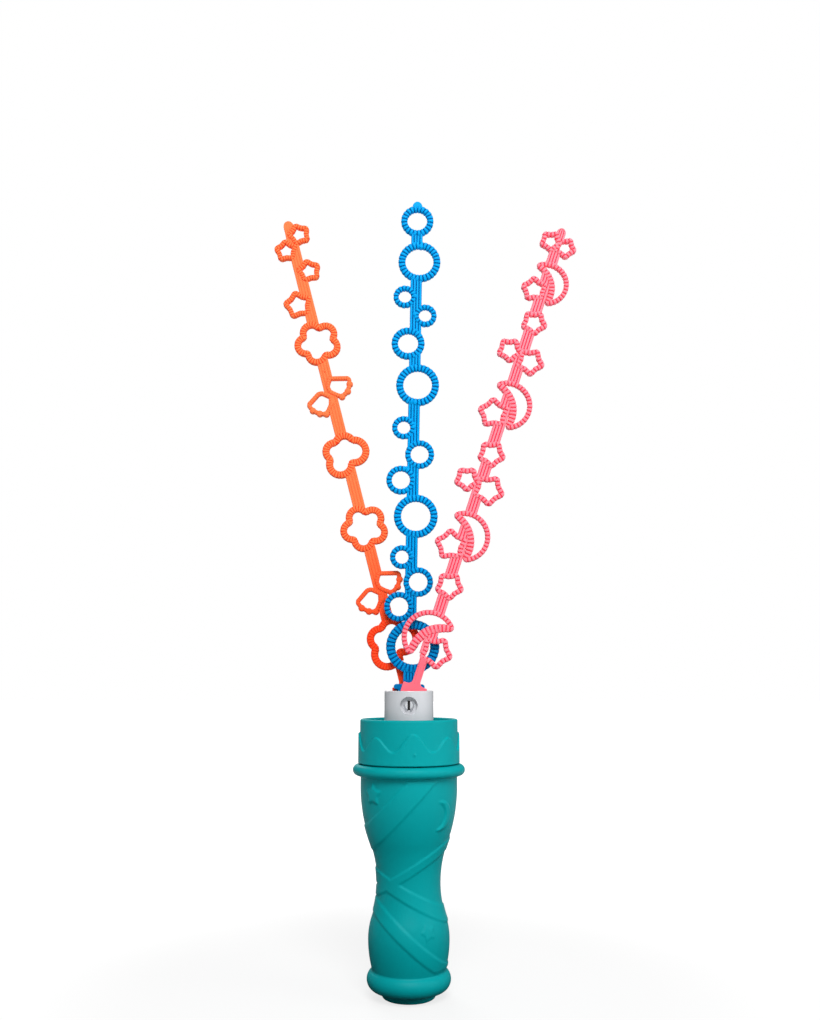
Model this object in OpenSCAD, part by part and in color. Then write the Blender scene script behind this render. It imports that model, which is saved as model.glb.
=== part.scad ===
// Bubble wand: a moulded grip with a collar, and three dipping wands of ribbed hoops that fan on one pin.
// Millimetres. +Z is up, the grip stands on z = 0 about the Z axis, and the wands fan out in the XZ plane,
// one behind the other along Y: pink in front at -Y, blue in the middle, orange behind.

/* [Grip] */
// Radius of the flat foot that the grip stands on
foot_r = 11.6; // [9:0.1:12.5]
// Rounding of the foot's edge
foot_round = 1; // [0.5:0.1:1.5]
// Radius of the base bead at its widest
base_bead_r = 18.2; // [17:0.1:20]
// Height of the middle of the base bead
base_bead_z = 7.6; // [6:0.1:9]
// Section radius of the base bead
base_bead_round = 4.6; // [3.6:0.1:5.4]
// Radius of the lower swell at its widest
swell_r = 17.7; // [16:0.1:19]
// Height of the widest part of the lower swell
swell_z = 24; // [20:0.5:28]
// Curve of the body between the base bead and the swell
swell_curve_r = 46; // [36:1:70]
// Radius of the waist
waist_r = 13.9; // [12:0.1:15]
// Height of the waist
waist_z = 46.5; // [42:0.5:52]
// Radius of the shoulder under the flange
shoulder_r = 21.5; // [20.6:0.1:22.5]
// Height where the shoulder becomes upright
shoulder_z = 88; // [82:0.5:91]
// Radius of the flange bead
flange_r = 25; // [24:0.1:27]
// Height of the middle of the flange bead
flange_z = 94.95; // [93:0.05:97]
// Section radius of the flange bead
flange_round = 2.4; // [2:0.05:3]
// Radius of the neck that the collar fits over
neck_r = 20; // [19:0.1:20.5]
// Height of the neck above the middle of the flange bead
neck_h = 9.05; // [7:0.05:10]
// Wall of the hollow grip
grip_wall = 1.6; // [1.2:0.1:2.2]

/* [Grip relief] */
// Height of the raised figures on the grip
relief = 0.45; // [0.3:0.05:0.8]
// Width of the upper ribbon that winds round the grip
upper_ribbon_w = 7.2; // [5:0.2:10]
// Height at which the upper ribbon crosses the axis
upper_ribbon_z = 83.8; // [78:0.2:86]
// Slant of the upper ribbon in degrees
upper_ribbon_slant = 47; // [30:1:50]
// Width of the two ribbons that cross at the waist
waist_ribbon_w = 5.4; // [4:0.2:7]
// Height at which the waist ribbon that climbs to the right crosses the axis
climbing_ribbon_z = 51.6; // [48:0.2:56]
// Slant of the waist ribbon that climbs to the right, in degrees
climbing_ribbon_slant = 32; // [20:1:40]
// Height at which the waist ribbon that falls to the right crosses the axis
falling_ribbon_z = 41.2; // [38:0.2:44]
// Slant of the waist ribbon that falls to the right, in degrees
falling_ribbon_slant = 28; // [20:1:40]
// Width of the lower ribbon
lower_ribbon_w = 5.8; // [4:0.2:8]
// Height at which the lower ribbon crosses the axis
lower_ribbon_z = 23.4; // [20:0.2:28]
// Slant of the lower ribbon in degrees
lower_ribbon_slant = 43; // [30:1:50]
// Tip radius of the star figure
star_figure_r = 4.4; // [3:0.1:5.5]
// Height of the star figure
star_figure_z = 84.3; // [80:0.1:88]
// Azimuth of the star figure from the front, in degrees
star_figure_turn = -48; // [-80:1:-20]
// Radius of the moon figure
moon_figure_r = 6.2; // [4:0.1:7]
// Height of the moon figure
moon_figure_z = 76.5; // [73:0.1:80]
// Azimuth of the moon figure from the front, in degrees
moon_figure_turn = 46; // [20:1:80]
// Radius of the round figure near the base
dot_figure_r = 3; // [2:0.1:4]
// Height of the round figure
dot_figure_z = 28.5; // [26:0.1:32]
// Azimuth of the round figure from the front, in degrees
dot_figure_turn = 27; // [10:1:50]

/* [Collar] */
// Wall of the collar above the wave
collar_wall = 1.8; // [1.4:0.1:2.4]
// Height of the collar
collar_h = 19.4; // [17:0.1:22]
// Seam between the flange and the collar
seam = 0.3; // [0.2:0.05:0.6]
// Running room between the neck and the collar
collar_fit = 0.1; // [0.05:0.01:0.2]
// Thickness of the collar's floor
collar_floor_t = 1.6; // [1.2:0.1:2.4]
// How far the layer under the wave stands out
wave_rise = 0.8; // [0.5:0.05:1.2]
// Height of the wave from trough to its high crests
wave_h = 7.6; // [5:0.1:8]
// How much lower every other crest is
low_crest_drop = 1.6; // [0.6:0.1:3]
// Height of the wave's troughs above the collar's foot
wave_trough_h = 5.9; // [4:0.1:7]
// How much the wave's crests are trimmed flat
crest_trim = 0.05; // [0.02:0.01:0.2]
// Height of the raised layer's lower edge above the collar's foot
layer_foot_h = 0.5; // [0.3:0.1:1]
// Number of waves round the collar
wave_count = 8; // [6:2:10]
// Azimuth of the first crest in degrees
wave_turn = 5; // [0:1:45]

/* [Sealing washer] */
// Thickness of the sealing washer
washer_t = 1; // [0.6:0.1:1.6]
// Width of the sealing washer
washer_w = 6; // [4:0.1:7]

/* [Wand holder] */
// Radius of the post at its rim
post_r = 11; // [10.6:0.1:11.6]
// How much wider the post is at its foot
post_flare = 0.25; // [0:0.05:0.5]
// Rounding of the post's rim
post_round = 0.4; // [0.2:0.1:0.8]
// Height of the fan's pivot above the base
pivot_z = 123.1; // [121:0.1:126]
// Height of the post's rim above the pivot
rim_rise = 6.3; // [5.8:0.1:6.8]
// Thickness of the holder's base plate
holder_plate_t = 1.6; // [1.2:0.1:2.4]
// Depth of the spigot that plugs the grip's neck
spigot_h = 4; // [3:0.1:6]
// Wall of the spigot and of the hollow under the post
holder_wall = 2.4; // [1.8:0.1:3]
// Solid floor left under the wand sockets
socket_floor_t = 2.6; // [2:0.1:3.5]

/* [Pivot pin] */
// Radius of the pivot pin
pin_r = 2; // [1.8:0.05:2.3]
// Room between the pin and the holder
pin_fit = 0.02; // [0.01:0.01:0.05]
// Running room between the pin and the wands
hub_fit = 0.05; // [0.03:0.01:0.1]
// Radius of the recess at each end of the pin
recess_r = 3.85; // [3.6:0.05:4.2]
// Wall between the wand sockets and each recess
recess_wall = 2.7; // [2:0.1:3.2]
// Radius of the pin's head
pin_head_r = 3.3; // [3:0.05:3.5]
// Thickness of the pin's head
pin_head_t = 1.3; // [1:0.1:1.8]
// How far the snap barbs stand out from the pin
barb_rise = 0.35; // [0.2:0.05:0.5]
// Length of the tapered snap end
barb_h = 1.9; // [1.4:0.1:2.2]
// Width of the slot that splits the snap end
slot_w = 1.1; // [0.8:0.1:1.4]

/* [Wands] */
// Thickness of a wand's plate
plate_t = 2.4; // [2:0.1:2.8]
// How far the ribs stand out from each face of the plate
rib_rise = 0.4; // [0.2:0.05:0.5]
// Width of a rib
rib_w = 1.2; // [0.8:0.05:1.5]
// Spacing of the ribs round a hoop
rib_pitch = 2.4; // [2:0.1:3.2]
// How far the ribs stand out from the edges of a hoop
rib_proud = 0.2; // [0.1:0.05:0.3]
// Room between the ribs of neighbouring wands
layer_gap = 0.6; // [0.4:0.1:1]
// Room between the hubs of neighbouring wands
hub_gap = 0.2; // [0.1:0.05:0.3]
// Width of a stem
stem_w = 5.6; // [4.6:0.1:6.4]
// Number of ridges along each face of a stem
ridge_count = 4; // [2:1:5]
// Width of a ridge
ridge_w = 0.7; // [0.5:0.05:0.9]
// How far a ridge stands out
ridge_rise = 0.3; // [0.1:0.05:0.35]
// Half width of a wand's foot, and the radius of its hub
foot_half = 5.6; // [5:0.1:6]
// Height of the foot's shoulders above the pivot
foot_top = 9.3; // [8.6:0.1:10]
// Width of the plain neck above a foot
wand_neck_w = 3.6; // [3:0.1:4.4]
// Height where the plain neck meets the hoops
wand_neck_top = 20; // [18:0.5:21]
// Fillet between the neck and the foot
neck_fillet = 2; // [1:0.1:2]
// Room between a foot and the stop that it leans on
stop_gap = 0.1; // [0.05:0.05:0.2]

/* [Blue wand] */
// Length of the blue wand from the pivot to its tip
blue_length = 244.3; // [220:0.1:270]
// Lean of the blue wand at rest, in degrees to the right
blue_lean = 1; // [0:0.1:2]
// Swing of the blue wand to each side of upright, in degrees
blue_swing = 3; // [2:0.1:3.5]
// Reach of the lugs that keep the blue wand upright
lug_reach = 7; // [6.6:0.1:7.6]
// Height of the lugs
lug_h = 2.5; // [2:0.1:2.8]
// Radius of the rounded tip
tip_r = 2.5; // [2:0.1:3]
// Hole radius of the small rings
small_hole_r = 3.2; // [2.8:0.1:3.6]
// Band width of the small rings
small_band = 2.2; // [1.8:0.1:2.6]
// Hole radius of the paired rings
pair_hole_r = 4.4; // [4:0.1:4.8]
// Band width of the paired rings
pair_band = 2.3; // [1.9:0.1:2.7]
// Hole radius of the middle rings
middle_hole_r = 5; // [4.6:0.1:5.4]
// Band width of the middle rings
middle_band = 2.8; // [2.4:0.1:3.2]
// Hole radius of the large rings
large_hole_r = 7; // [6.4:0.1:7.6]
// Band width of the large rings
large_band = 3.1; // [2.6:0.1:3.6]
// Hole radius of the lowest ring
lowest_hole_r = 8.1; // [7.4:0.1:8.6]
// Band width of the lowest ring
lowest_band = 3.9; // [3.2:0.1:4.2]

/* [Orange wand] */
// Length of the orange wand from the pivot to its tip
orange_length = 243.7; // [220:0.1:270]
// Lean of the orange wand at rest, in degrees to the left
orange_lean = 14.4; // [8:0.1:18]
// Distance of a flower's petals from its middle
petal_d = 5.75; // [5.2:0.05:6.2]
// Hole radius of a petal
petal_hole_r = 2.7; // [2.3:0.1:3]
// Band width of a flower
petal_band = 2.9; // [2.4:0.1:3.3]
// Number of petals
petal_count = 5; // [5:1:6]
// Hole radius of the widest lobe of the upper clover
clover_r = 4; // [3.6:0.1:4.4]
// Hole radius of the widest lobe of the lower clover
low_clover_r = 4.5; // [4:0.1:4.8]
// Band width of the clovers
clover_band = 3.1; // [2.6:0.1:3.5]
// Reach of a butterfly wing from its root
wing_reach = 11.5; // [10:0.1:13]
// Band width of a wing
wing_band = 2; // [1.6:0.1:2.4]
// Radius of the scallops on a wing's edge
scallop_r = 1.4; // [1.2:0.1:1.7]
// Lean of the butterflies' bodies in degrees
butterfly_lean = 13; // [8:1:18]

/* [Stars] */
// Tip radius of the largest star hoop, along the middle of its band
star_tip_r = 6.9; // [6:0.1:7.6]
// Band width of a star hoop
star_band = 2.1; // [1.7:0.1:2.5]

/* [Pink wand] */
// Length of the pink wand from the pivot to its tip
pink_length = 240.8; // [220:0.1:270]
// Lean of the pink wand at rest, in degrees to the right
pink_lean = 18.2; // [12:0.1:20]
// Radius of the largest moon hoop, along the middle of its band
moon_r = 11.2; // [10:0.1:12]
// Band width of a moon hoop
moon_band = 2.1; // [1.7:0.1:2.5]

/* [Hidden] */
$fn = 96;

// How far every cut runs past the surface that it opens
overrun = 1;
// Share of an S curve's arcs that the hollow one takes
hollow_share = 0.42;
low_hollow_share = 0.6;
// Valley radius of a star as a share of its tip radius
star_valley_share = 0.7;
// Steps in each arc of the grip's outline and in each side of the wave
curve_steps = 6;
wave_steps = 9;
// How far round its lobe a rib may stand, as the cosine of its turn from the lobe's outer side
inward_share = 0.3;
// Spread and radius of a moon's inner arc as shares of its outer radius
moon_shift_share = 1;
moon_inner_share = 1.3;
// Thickness of the moon figure as a share of its radius
moon_figure_share = 0.55;

neck_top_z = flange_z + neck_h;
neck_bore_r = neck_r - grip_wall;
collar_foot_z = flange_z + flange_round + seam;
collar_top_z = collar_foot_z + collar_h;
collar_in_r = neck_r + collar_fit;
collar_out_r = collar_in_r + collar_wall;
floor_z = neck_top_z + holder_plate_t;
cup_z = floor_z + collar_floor_t;
post_foot_r = post_r + post_flare;
rim_z = pivot_z + rim_rise;
layer_pitch = plate_t + 2 * rib_rise + layer_gap;
hub_t = layer_pitch - hub_gap;
socket_half = 1.5 * layer_pitch;
recess_y = socket_half + recess_wall;
hub_r = foot_half;
socket_r = hub_r + stop_gap;
core_top_z = pivot_z - socket_r - socket_floor_t;
core_r = post_r - holder_wall;

// Rows of rings: place along the wand, place across the stem, kind
ring_shares = [[0.957, 0, 2], [0.870, 0.25, 3], [0.796, -0.96, 0], [0.757, 0.82, 0], [0.699, -0.61, 2],
               [0.614, 0.27, 3], [0.528, -0.84, 0], [0.475, 0.54, 1], [0.424, -1, 1], [0.354, 0.3, 3],
               [0.275, -0.79, 0], [0.228, 0.59, 1], [0.181, -0.96, 1], [0.107, 0.23, 4]];
ring_holes = [small_hole_r, pair_hole_r, middle_hole_r, large_hole_r, lowest_hole_r];
ring_bands = [small_band, pair_band, middle_band, large_band, lowest_band];

// Rows of stars: place along the wand, place across the stem, size, turn of a tip in degrees
orange_star_shares = [[0.964, 0.71, 0.74, 26], [0.936, -0.73, 0.74, 154], [0.883, 0.78, 0.77, 18],
                      [0.818, -0.86, 0.93, 18]];
pink_star_shares = [[0.963, -0.65, 0.7, 0], [0.958, 0.71, 0.7, 0], [0.855, -0.73, 0.84, 36],
                    [0.787, 0.14, 0.83, 0], [0.718, -1.12, 0.81, 0], [0.707, 0.83, 0.91, 0],
                    [0.585, -0.78, 0.99, 36], [0.505, 0.12, 0.87, 0], [0.443, -1.18, 0.78, 0],
                    [0.435, 0.8, 1, 0], [0.311, -0.78, 0.99, 36], [0.235, 0.15, 0.87, 0],
                    [0.108, 0.78, 1, 0]];
// Rows of moons: place along the wand, place across the stem, size, turn of the bulge in degrees
moon_shares = [[0.873, 0.07, 0.89, 29], [0.608, 0.09, 0.97, 29], [0.334, 0.07, 0.97, 29],
               [0.131, -0.15, 1, 137]];

// Places along the orange wand of the flowers, the clovers and the roots of the butterflies' wings
flower_shares = [0.731, 0.3455];
upper_clover_share = 0.4985;
lower_clover_share = 0.123;
right_wing_shares = [0.624, 0.2245];
left_wing_shares = [0.61, 0.21];
// Lobes of a clover as shares of its radius: across, along, hole radius
clover_lobe_shares = [[1.05, -0.08, 1], [0.12, 1.02, 0.68], [-1.18, 0.48, 0.68], [-0.9, -1.2, 0.92]];
// Outline of a wing as shares of its reach; the points of its lower edge carry the scallops
wing_edge_shares = [[-0.02, 0.17], [0.13, 0.61], [0.89, 0.47]];
wing_scallop_shares = [[0.86, 0.22], [0.74, -0.1], [0.5, -0.23]];
wing_root_shares = [[0.24, -0.07]];

function polar(r, a) = [r * cos(a), r * sin(a)];
function star_points(tip, turn) =
    [for (i = [0 : 9]) polar(i % 2 == 0 ? tip : tip * star_valley_share, turn + 36 * i)];
function scaled(points, size) = [for (p = points) p * size];
function flower_lobes() =
    [for (i = [0 : petal_count - 1])
        concat(polar(petal_d, 180 - 360 * i / petal_count), [petal_hole_r])];
// True where p, on lobe number i of a hoop, lies on the hoop's outline: on the outer side of its own lobe
// and outside the middle lines of the others
function on_outline(p, lobes, band, i) =
    let (middle = [lobes[i].x, lobes[i].y])
    (p - middle) * middle >= -inward_share * norm(middle) * norm(p - middle)
    && len([for (k = [0 : len(lobes) - 1])
        if (k != i && norm(p - [lobes[k].x, lobes[k].y]) < lobes[k].z + band / 2) k]) == 0;

// Grip

// Points along an S curve of two tangent arcs, upright at both ends, from its small end to its big one
function s_curve(r_small, z_small, r_big, z_big, share) =
    let (gap = r_big - r_small, rise = z_big - z_small, arcs_r = (gap * gap + rise * rise) / (2 * gap))
    let (hollow_r = arcs_r * share, crown_r = arcs_r - hollow_r, reach = asin(rise / arcs_r))
    concat([for (k = [0 : curve_steps]) let (turn = reach * k / curve_steps)
               [r_small + hollow_r * (1 - cos(turn)), z_small + hollow_r * sin(turn)]],
           [for (k = [1 : curve_steps]) let (turn = reach * (1 - k / curve_steps))
               [r_big - crown_r * (1 - cos(turn)), z_big - crown_r * sin(turn)]]);
function reversed(points) = [for (i = [len(points) - 1 : -1 : 0]) points[i]];

// Outline of the waisted body from the base bead up to the flange
function body_outline() =
    let (reach = asin((swell_z - base_bead_z) / swell_curve_r))
    concat([for (k = [0 : curve_steps - 1]) let (turn = reach * (1 - k / curve_steps))
               [swell_r - swell_curve_r * (1 - cos(turn)), swell_z - swell_curve_r * sin(turn)]],
           reversed(s_curve(waist_r, waist_z, swell_r, swell_z, low_hollow_share)),
           [for (i = [1 : 2 * curve_steps])
               s_curve(waist_r, waist_z, shoulder_r, shoulder_z, hollow_share)[i]],
           [[shoulder_r, flange_z]]);

// Half section of the waisted body, moved inwards by inset
module body_section(inset) {
    polygon(concat([[0, base_bead_z]], [for (p = body_outline()) p - [inset, 0]], [[0, flange_z]]));
}

module base_section(inset) {
    round_r = base_bead_round - inset;
    translate([base_bead_r - base_bead_round, base_bead_z]) circle(round_r);
    translate([0, base_bead_z - round_r]) square([base_bead_r - base_bead_round, 2 * round_r]);
}

module foot_section() {
    translate([0, foot_round]) square([foot_r, base_bead_z - foot_round]);
    square([foot_r - foot_round, base_bead_z]);
    translate([foot_r - foot_round, foot_round]) circle(foot_round);
}

module grip_cavity() {
    rotate_extrude() {
        body_section(grip_wall);
        base_section(grip_wall);
        translate([0, grip_wall]) square([foot_r - grip_wall, base_bead_z - grip_wall]);
        translate([0, shoulder_z]) square([neck_bore_r, neck_top_z + overrun - shoulder_z]);
    }
}

// A figure drawn square to the grip's face at an azimuth, as a column that runs out through the wall
module figure(turn, z) {
    rotate([0, 0, turn]) translate([0, 0, z]) rotate([90, 0, 0]) linear_extrude(flange_r) children();
}

module crescent(r, shift) {
    difference() {
        circle(r);
        translate([-shift, 0]) circle(r);
    }
}

module ribbon(z, slant, w) {
    translate([0, 0, z]) rotate([0, -slant, 0]) cube([4 * flange_r, 4 * flange_r, w], center = true);
}

// The raised figures: four ribbons, a star, a moon and a round figure, all of one height
module grip_relief() {
    intersection() {
        rotate_extrude() body_section(-relief);
        union() {
            ribbon(upper_ribbon_z, upper_ribbon_slant, upper_ribbon_w);
            ribbon(climbing_ribbon_z, climbing_ribbon_slant, waist_ribbon_w);
            ribbon(falling_ribbon_z, -falling_ribbon_slant, waist_ribbon_w);
            ribbon(lower_ribbon_z, -lower_ribbon_slant, lower_ribbon_w);
            figure(star_figure_turn, star_figure_z) polygon(star_points(star_figure_r, 90));
            figure(moon_figure_turn, moon_figure_z)
                crescent(moon_figure_r, moon_figure_r * moon_figure_share);
            figure(dot_figure_turn, dot_figure_z) circle(dot_figure_r);
        }
    }
}

module handle_shell() {
    color("#00A6A4") difference() {
        union() {
            rotate_extrude() {
                body_section(0);
                base_section(0);
                foot_section();
                translate([flange_r - flange_round, flange_z]) circle(flange_round);
                translate([0, flange_z - flange_round]) square([flange_r - flange_round, 2 * flange_round]);
                translate([0, flange_z]) square([neck_r, neck_h]);
            }
            grip_relief();
        }
        grip_cavity();
    }
}

// Collar

// Right side of one wave, drawn flat: half a cosine from its crest down into the trough
function wave_side(half_w, crest_h) =
    [for (k = [0 : wave_steps]) let (share = k / wave_steps)
        [half_w * share, wave_trough_h + (crest_h - wave_trough_h) * (1 + cos(180 * share)) / 2]];

// The space over one trough, drawn flat between a crest on its left and one on its right, and open above
module trough_section(half_w, left_h, right_h) {
    edge_w = half_w + overrun;
    top = collar_h + overrun;
    climb = wave_side(half_w, right_h);
    polygon(concat([[-edge_w, top], [-edge_w, left_h + crest_trim]],
                   [for (p = wave_side(half_w, left_h)) [p.x - half_w, p.y]],
                   [for (k = [1 : wave_steps]) [half_w - climb[wave_steps - k].x, climb[wave_steps - k].y]],
                   [[edge_w, right_h + crest_trim], [edge_w, top]]));
}

// The raised layer: a ring with a trough cut out between each two crests
module wave_layer() {
    layer_r = collar_out_r + wave_rise;
    half_w = (layer_r + overrun) * sin(180 / wave_count);
    crest_h = wave_trough_h + wave_h;
    from_r = collar_in_r * cos(180 / wave_count) - overrun;
    lip_r = collar_wall / 2;
    translate([0, 0, collar_foot_z]) difference() {
        rotate_extrude() translate([collar_in_r + lip_r, layer_foot_h])
            square([collar_wall - lip_r + wave_rise, crest_h - crest_trim - layer_foot_h]);
        for (i = [0 : wave_count - 1]) {
            left_h = crest_h - low_crest_drop * (i % 2);
            right_h = crest_h - low_crest_drop * ((i + 1) % 2);
            rotate([0, 0, wave_turn - 90 + (i + 0.5) * 360 / wave_count]) translate([from_r, 0, 0])
                rotate([90, 0, 90]) linear_extrude(layer_r + overrun - from_r)
                    trough_section(half_w, left_h, right_h);
        }
    }
}

module collar() {
    lip_r = collar_wall / 2;
    color("#00A6A4") union() {
        rotate_extrude() {
            translate([collar_in_r, collar_foot_z]) square([collar_wall, collar_h - lip_r]);
            translate([collar_in_r + lip_r, collar_top_z - lip_r]) circle(lip_r);
            translate([post_foot_r + collar_fit, floor_z])
                square([collar_in_r + lip_r - post_foot_r - collar_fit, collar_floor_t]);
        }
        wave_layer();
    }
}

module sealing_washer() {
    washer_r = collar_in_r - collar_fit;
    color("whitesmoke") translate([0, 0, cup_z]) difference() {
        cylinder(r = washer_r, h = washer_t);
        translate([0, 0, -overrun]) cylinder(r = washer_r - washer_w, h = washer_t + 2 * overrun);
    }
}

// Wand holder and pivot pin

// A shape in the fan's plane, with the pivot at its origin, from one depth to another
module across(y_front, y_back) {
    translate([0, y_back, pivot_z]) rotate([90, 0, 0]) linear_extrude(y_back - y_front) children();
}

// The room that a foot sweeps between two leans, open at the rim
module foot_room(leans) {
    circle(socket_r);
    for (lean = leans) rotate(-lean) translate([-socket_r, 0]) square([2 * socket_r, foot_top]);
}

module holder_section() {
    post_h = rim_z - neck_top_z;
    translate([0, neck_top_z]) {
        polygon([[0, 0], [post_foot_r, 0], [post_r, post_h - post_round],
                 [post_r - post_round, post_h - post_round], [post_r - post_round, post_h], [0, post_h]]);
        square([neck_r - collar_fit, holder_plate_t]);
    }
    translate([post_r - post_round, rim_z - post_round]) circle(post_round);
    translate([0, neck_top_z - spigot_h]) square([neck_bore_r - collar_fit, spigot_h]);
}

module wand_holder() {
    color("gainsboro") difference() {
        rotate_extrude() holder_section();
        translate([0, 0, neck_top_z - spigot_h - overrun])
            cylinder(r = core_r, h = core_top_z - neck_top_z + spigot_h + overrun);
        across(-socket_half, -layer_pitch / 2) foot_room([0, pink_lean]);
        across(-layer_pitch / 2, layer_pitch / 2) foot_room([-blue_swing, blue_swing]);
        across(layer_pitch / 2, socket_half) foot_room([0, -orange_lean]);
        across(-post_foot_r, post_foot_r) circle(pin_r + pin_fit);
        across(-post_foot_r, -recess_y) circle(recess_r);
        across(recess_y, post_foot_r) circle(recess_r);
    }
}

module pivot_pin() {
    barb_y = recess_y + pin_fit;
    barb_r = pin_r + barb_rise;
    color("white") difference() {
        union() {
            across(-barb_y, recess_y + pin_fit) circle(pin_r);
            across(recess_y + pin_fit, recess_y + pin_fit + pin_head_t) circle(pin_head_r);
            translate([0, -barb_y, pivot_z]) rotate([90, 0, 0])
                cylinder(r1 = barb_r, r2 = pin_r - barb_rise, h = barb_h);
        }
        across(-barb_y - barb_h - overrun, -socket_half + hub_gap)
            square([slot_w, 2 * barb_r + overrun], center = true);
    }
}

// Hoops: each is drawn as its band, its hole, its filled outline or its ribs

module rib(band) {
    square([rib_w, band + 2 * rib_proud], center = true);
}

// A hoop whose hole is a union of lobes, each given as across, along and hole radius
module lobed_hoop(lobes, band, what) {
    if (what == "band") {
        difference() {
            lobed_hoop(lobes, band, "filled");
            lobed_hoop(lobes, band, "hole");
        }
    } else if (what == "ribs") {
        for (i = [0 : len(lobes) - 1]) {
            middle = [lobes[i].x, lobes[i].y];
            rib_r = lobes[i].z + band / 2;
            count = round(2 * PI * rib_r / rib_pitch);
            for (k = [0 : count - 1]) {
                at = middle + polar(rib_r, 360 * k / count);
                if (on_outline(at, lobes, band, i)) translate(at) rotate(360 * k / count + 90) rib(band);
            }
        }
    } else {
        for (lobe = lobes) translate([lobe.x, lobe.y]) circle(lobe.z + (what == "filled" ? band : 0));
        if (len(lobes) > 2) polygon([for (lobe = lobes) [lobe.x, lobe.y]]);
    }
}

// Ribs along a closed line of points
module line_ribs(points, band) {
    for (i = [0 : len(points) - 1]) {
        step = points[(i + 1) % len(points)] - points[i];
        ribs = max(1, round(norm(step) / rib_pitch));
        for (k = [0 : ribs - 1]) {
            translate(points[i] + step * (k + 0.5) / ribs) rotate(atan2(step.y, step.x)) rib(band);
        }
    }
}

// A hoop that follows a closed line of points
module line_hoop(points, band, what) {
    if (what == "ribs") {
        line_ribs(points, band);
    } else if (what == "hole") {
        difference() {
            polygon(points);
            line_hoop(points, band, "band");
        }
    } else {
        if (what == "filled") polygon(points);
        for (i = [0 : len(points) - 1]) {
            step = points[(i + 1) % len(points)] - points[i];
            translate(points[i]) rotate(atan2(step.y, step.x)) {
                translate([0, -band / 2]) square([norm(step), band]);
                circle(band / 2);
            }
        }
    }
}

// A moon: the space between an outer arc and a flatter inner arc, bulging along +X before it is turned
module moon_hoop(r, what) {
    shift = r * moon_shift_share;
    inner_r = r * moon_inner_share;
    horn_x = (inner_r * inner_r - r * r - shift * shift) / (2 * shift);
    horn_turn = acos(horn_x / r);
    inner_turn = acos((horn_x + shift) / inner_r);
    half = moon_band / 2;
    if (what == "band") {
        difference() {
            moon_hoop(r, "filled");
            moon_hoop(r, "hole");
        }
    } else if (what == "hole") {
        difference() {
            circle(r - half);
            translate([-shift, 0]) circle(inner_r + half);
        }
    } else if (what == "filled") {
        intersection() {
            difference() {
                circle(r + half);
                translate([-shift, 0]) circle(inner_r - half);
            }
            translate([horn_x, -2 * r]) square(4 * r);
        }
        for (side = [-1, 1]) translate(polar(r, side * horn_turn)) circle(half);
    } else {
        outer_count = round(2 * PI * r * horn_turn / 180 / rib_pitch);
        inner_count = round(2 * PI * inner_r * inner_turn / 180 / rib_pitch);
        for (k = [0.5 : outer_count - 0.5]) {
            turn = horn_turn * (2 * k / outer_count - 1);
            translate(polar(r, turn)) rotate(turn + 90) rib(moon_band);
        }
        for (k = [1.5 : inner_count - 1.5]) {
            turn = inner_turn * (2 * k / inner_count - 1);
            translate(polar(inner_r, turn) - [shift, 0]) rotate(turn + 90) rib(moon_band);
        }
    }
}

// A star: the space between two outlines on each side of its middle line, with blunt tips
module star_hoop(tip, turn, what) {
    edge_d = tip * star_valley_share * sin(36) / norm([1, 0] - polar(star_valley_share, 36));
    half = star_band / 2;
    if (what == "band") {
        difference() {
            star_hoop(tip, turn, "filled");
            star_hoop(tip, turn, "hole");
        }
    } else if (what == "filled") {
        intersection() {
            polygon(star_points(tip * (1 + half / edge_d), turn));
            circle(tip + half);
        }
    } else if (what == "hole") {
        polygon(star_points(tip * (1 - half / edge_d), turn));
    } else {
        line_ribs(star_points(tip, turn), star_band);
    }
}

module star_hoops(rows, length, what) {
    for (row = rows) {
        translate([row[1] * stem_w, row[0] * length]) star_hoop(row[2] * star_tip_r, row[3], what);
    }
}

// A butterfly's wing, to the right of its root
module wing_hoop(what) {
    edge = scaled(concat(wing_edge_shares, wing_scallop_shares, wing_root_shares), wing_reach);
    line_hoop(edge, wing_band, what);
    if (what == "band" || what == "filled") {
        difference() {
            for (p = scaled(wing_scallop_shares, wing_reach)) translate(p) circle(scallop_r);
            line_hoop(edge, wing_band, "hole");
        }
    }
}

module blue_hoops(what) {
    for (row = ring_shares) {
        translate([row[1] * stem_w, row[0] * blue_length])
            lobed_hoop([[0, 0, ring_holes[row[2]]]], ring_bands[row[2]], what);
    }
}

module orange_hoops(what) {
    star_hoops(orange_star_shares, orange_length, what);
    for (share = flower_shares) {
        translate([0, share * orange_length]) lobed_hoop(flower_lobes(), petal_band, what);
    }
    translate([0, upper_clover_share * orange_length])
        lobed_hoop(scaled(clover_lobe_shares, clover_r), clover_band, what);
    translate([0, lower_clover_share * orange_length])
        lobed_hoop(scaled(clover_lobe_shares, low_clover_r), clover_band, what);
    for (share = right_wing_shares) translate([0, share * orange_length]) wing_hoop(what);
    for (share = left_wing_shares) {
        translate([0, share * orange_length]) rotate(butterfly_lean) mirror([1, 0]) rotate(butterfly_lean)
            wing_hoop(what);
    }
}

module pink_hoops(what) {
    star_hoops(pink_star_shares, pink_length, what);
    for (row = moon_shares) {
        translate([row[1] * stem_w, row[0] * pink_length]) rotate(row[3]) moon_hoop(row[2] * moon_r, what);
    }
}

// Wands: drawn upright with the pivot at the origin, then leaned into their layer

module plate(thickness) {
    rotate([90, 0, 0]) linear_extrude(thickness, center = true) children();
}

module stem(from, to, w) {
    translate([-w / 2, from]) square([w, to - from]);
}

module ridges(from, to) {
    for (k = [0.5 : ridge_count - 0.5]) {
        translate([(k / ridge_count - 0.5) * stem_w - ridge_w / 2, from]) square([ridge_w, to - from]);
    }
}

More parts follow.
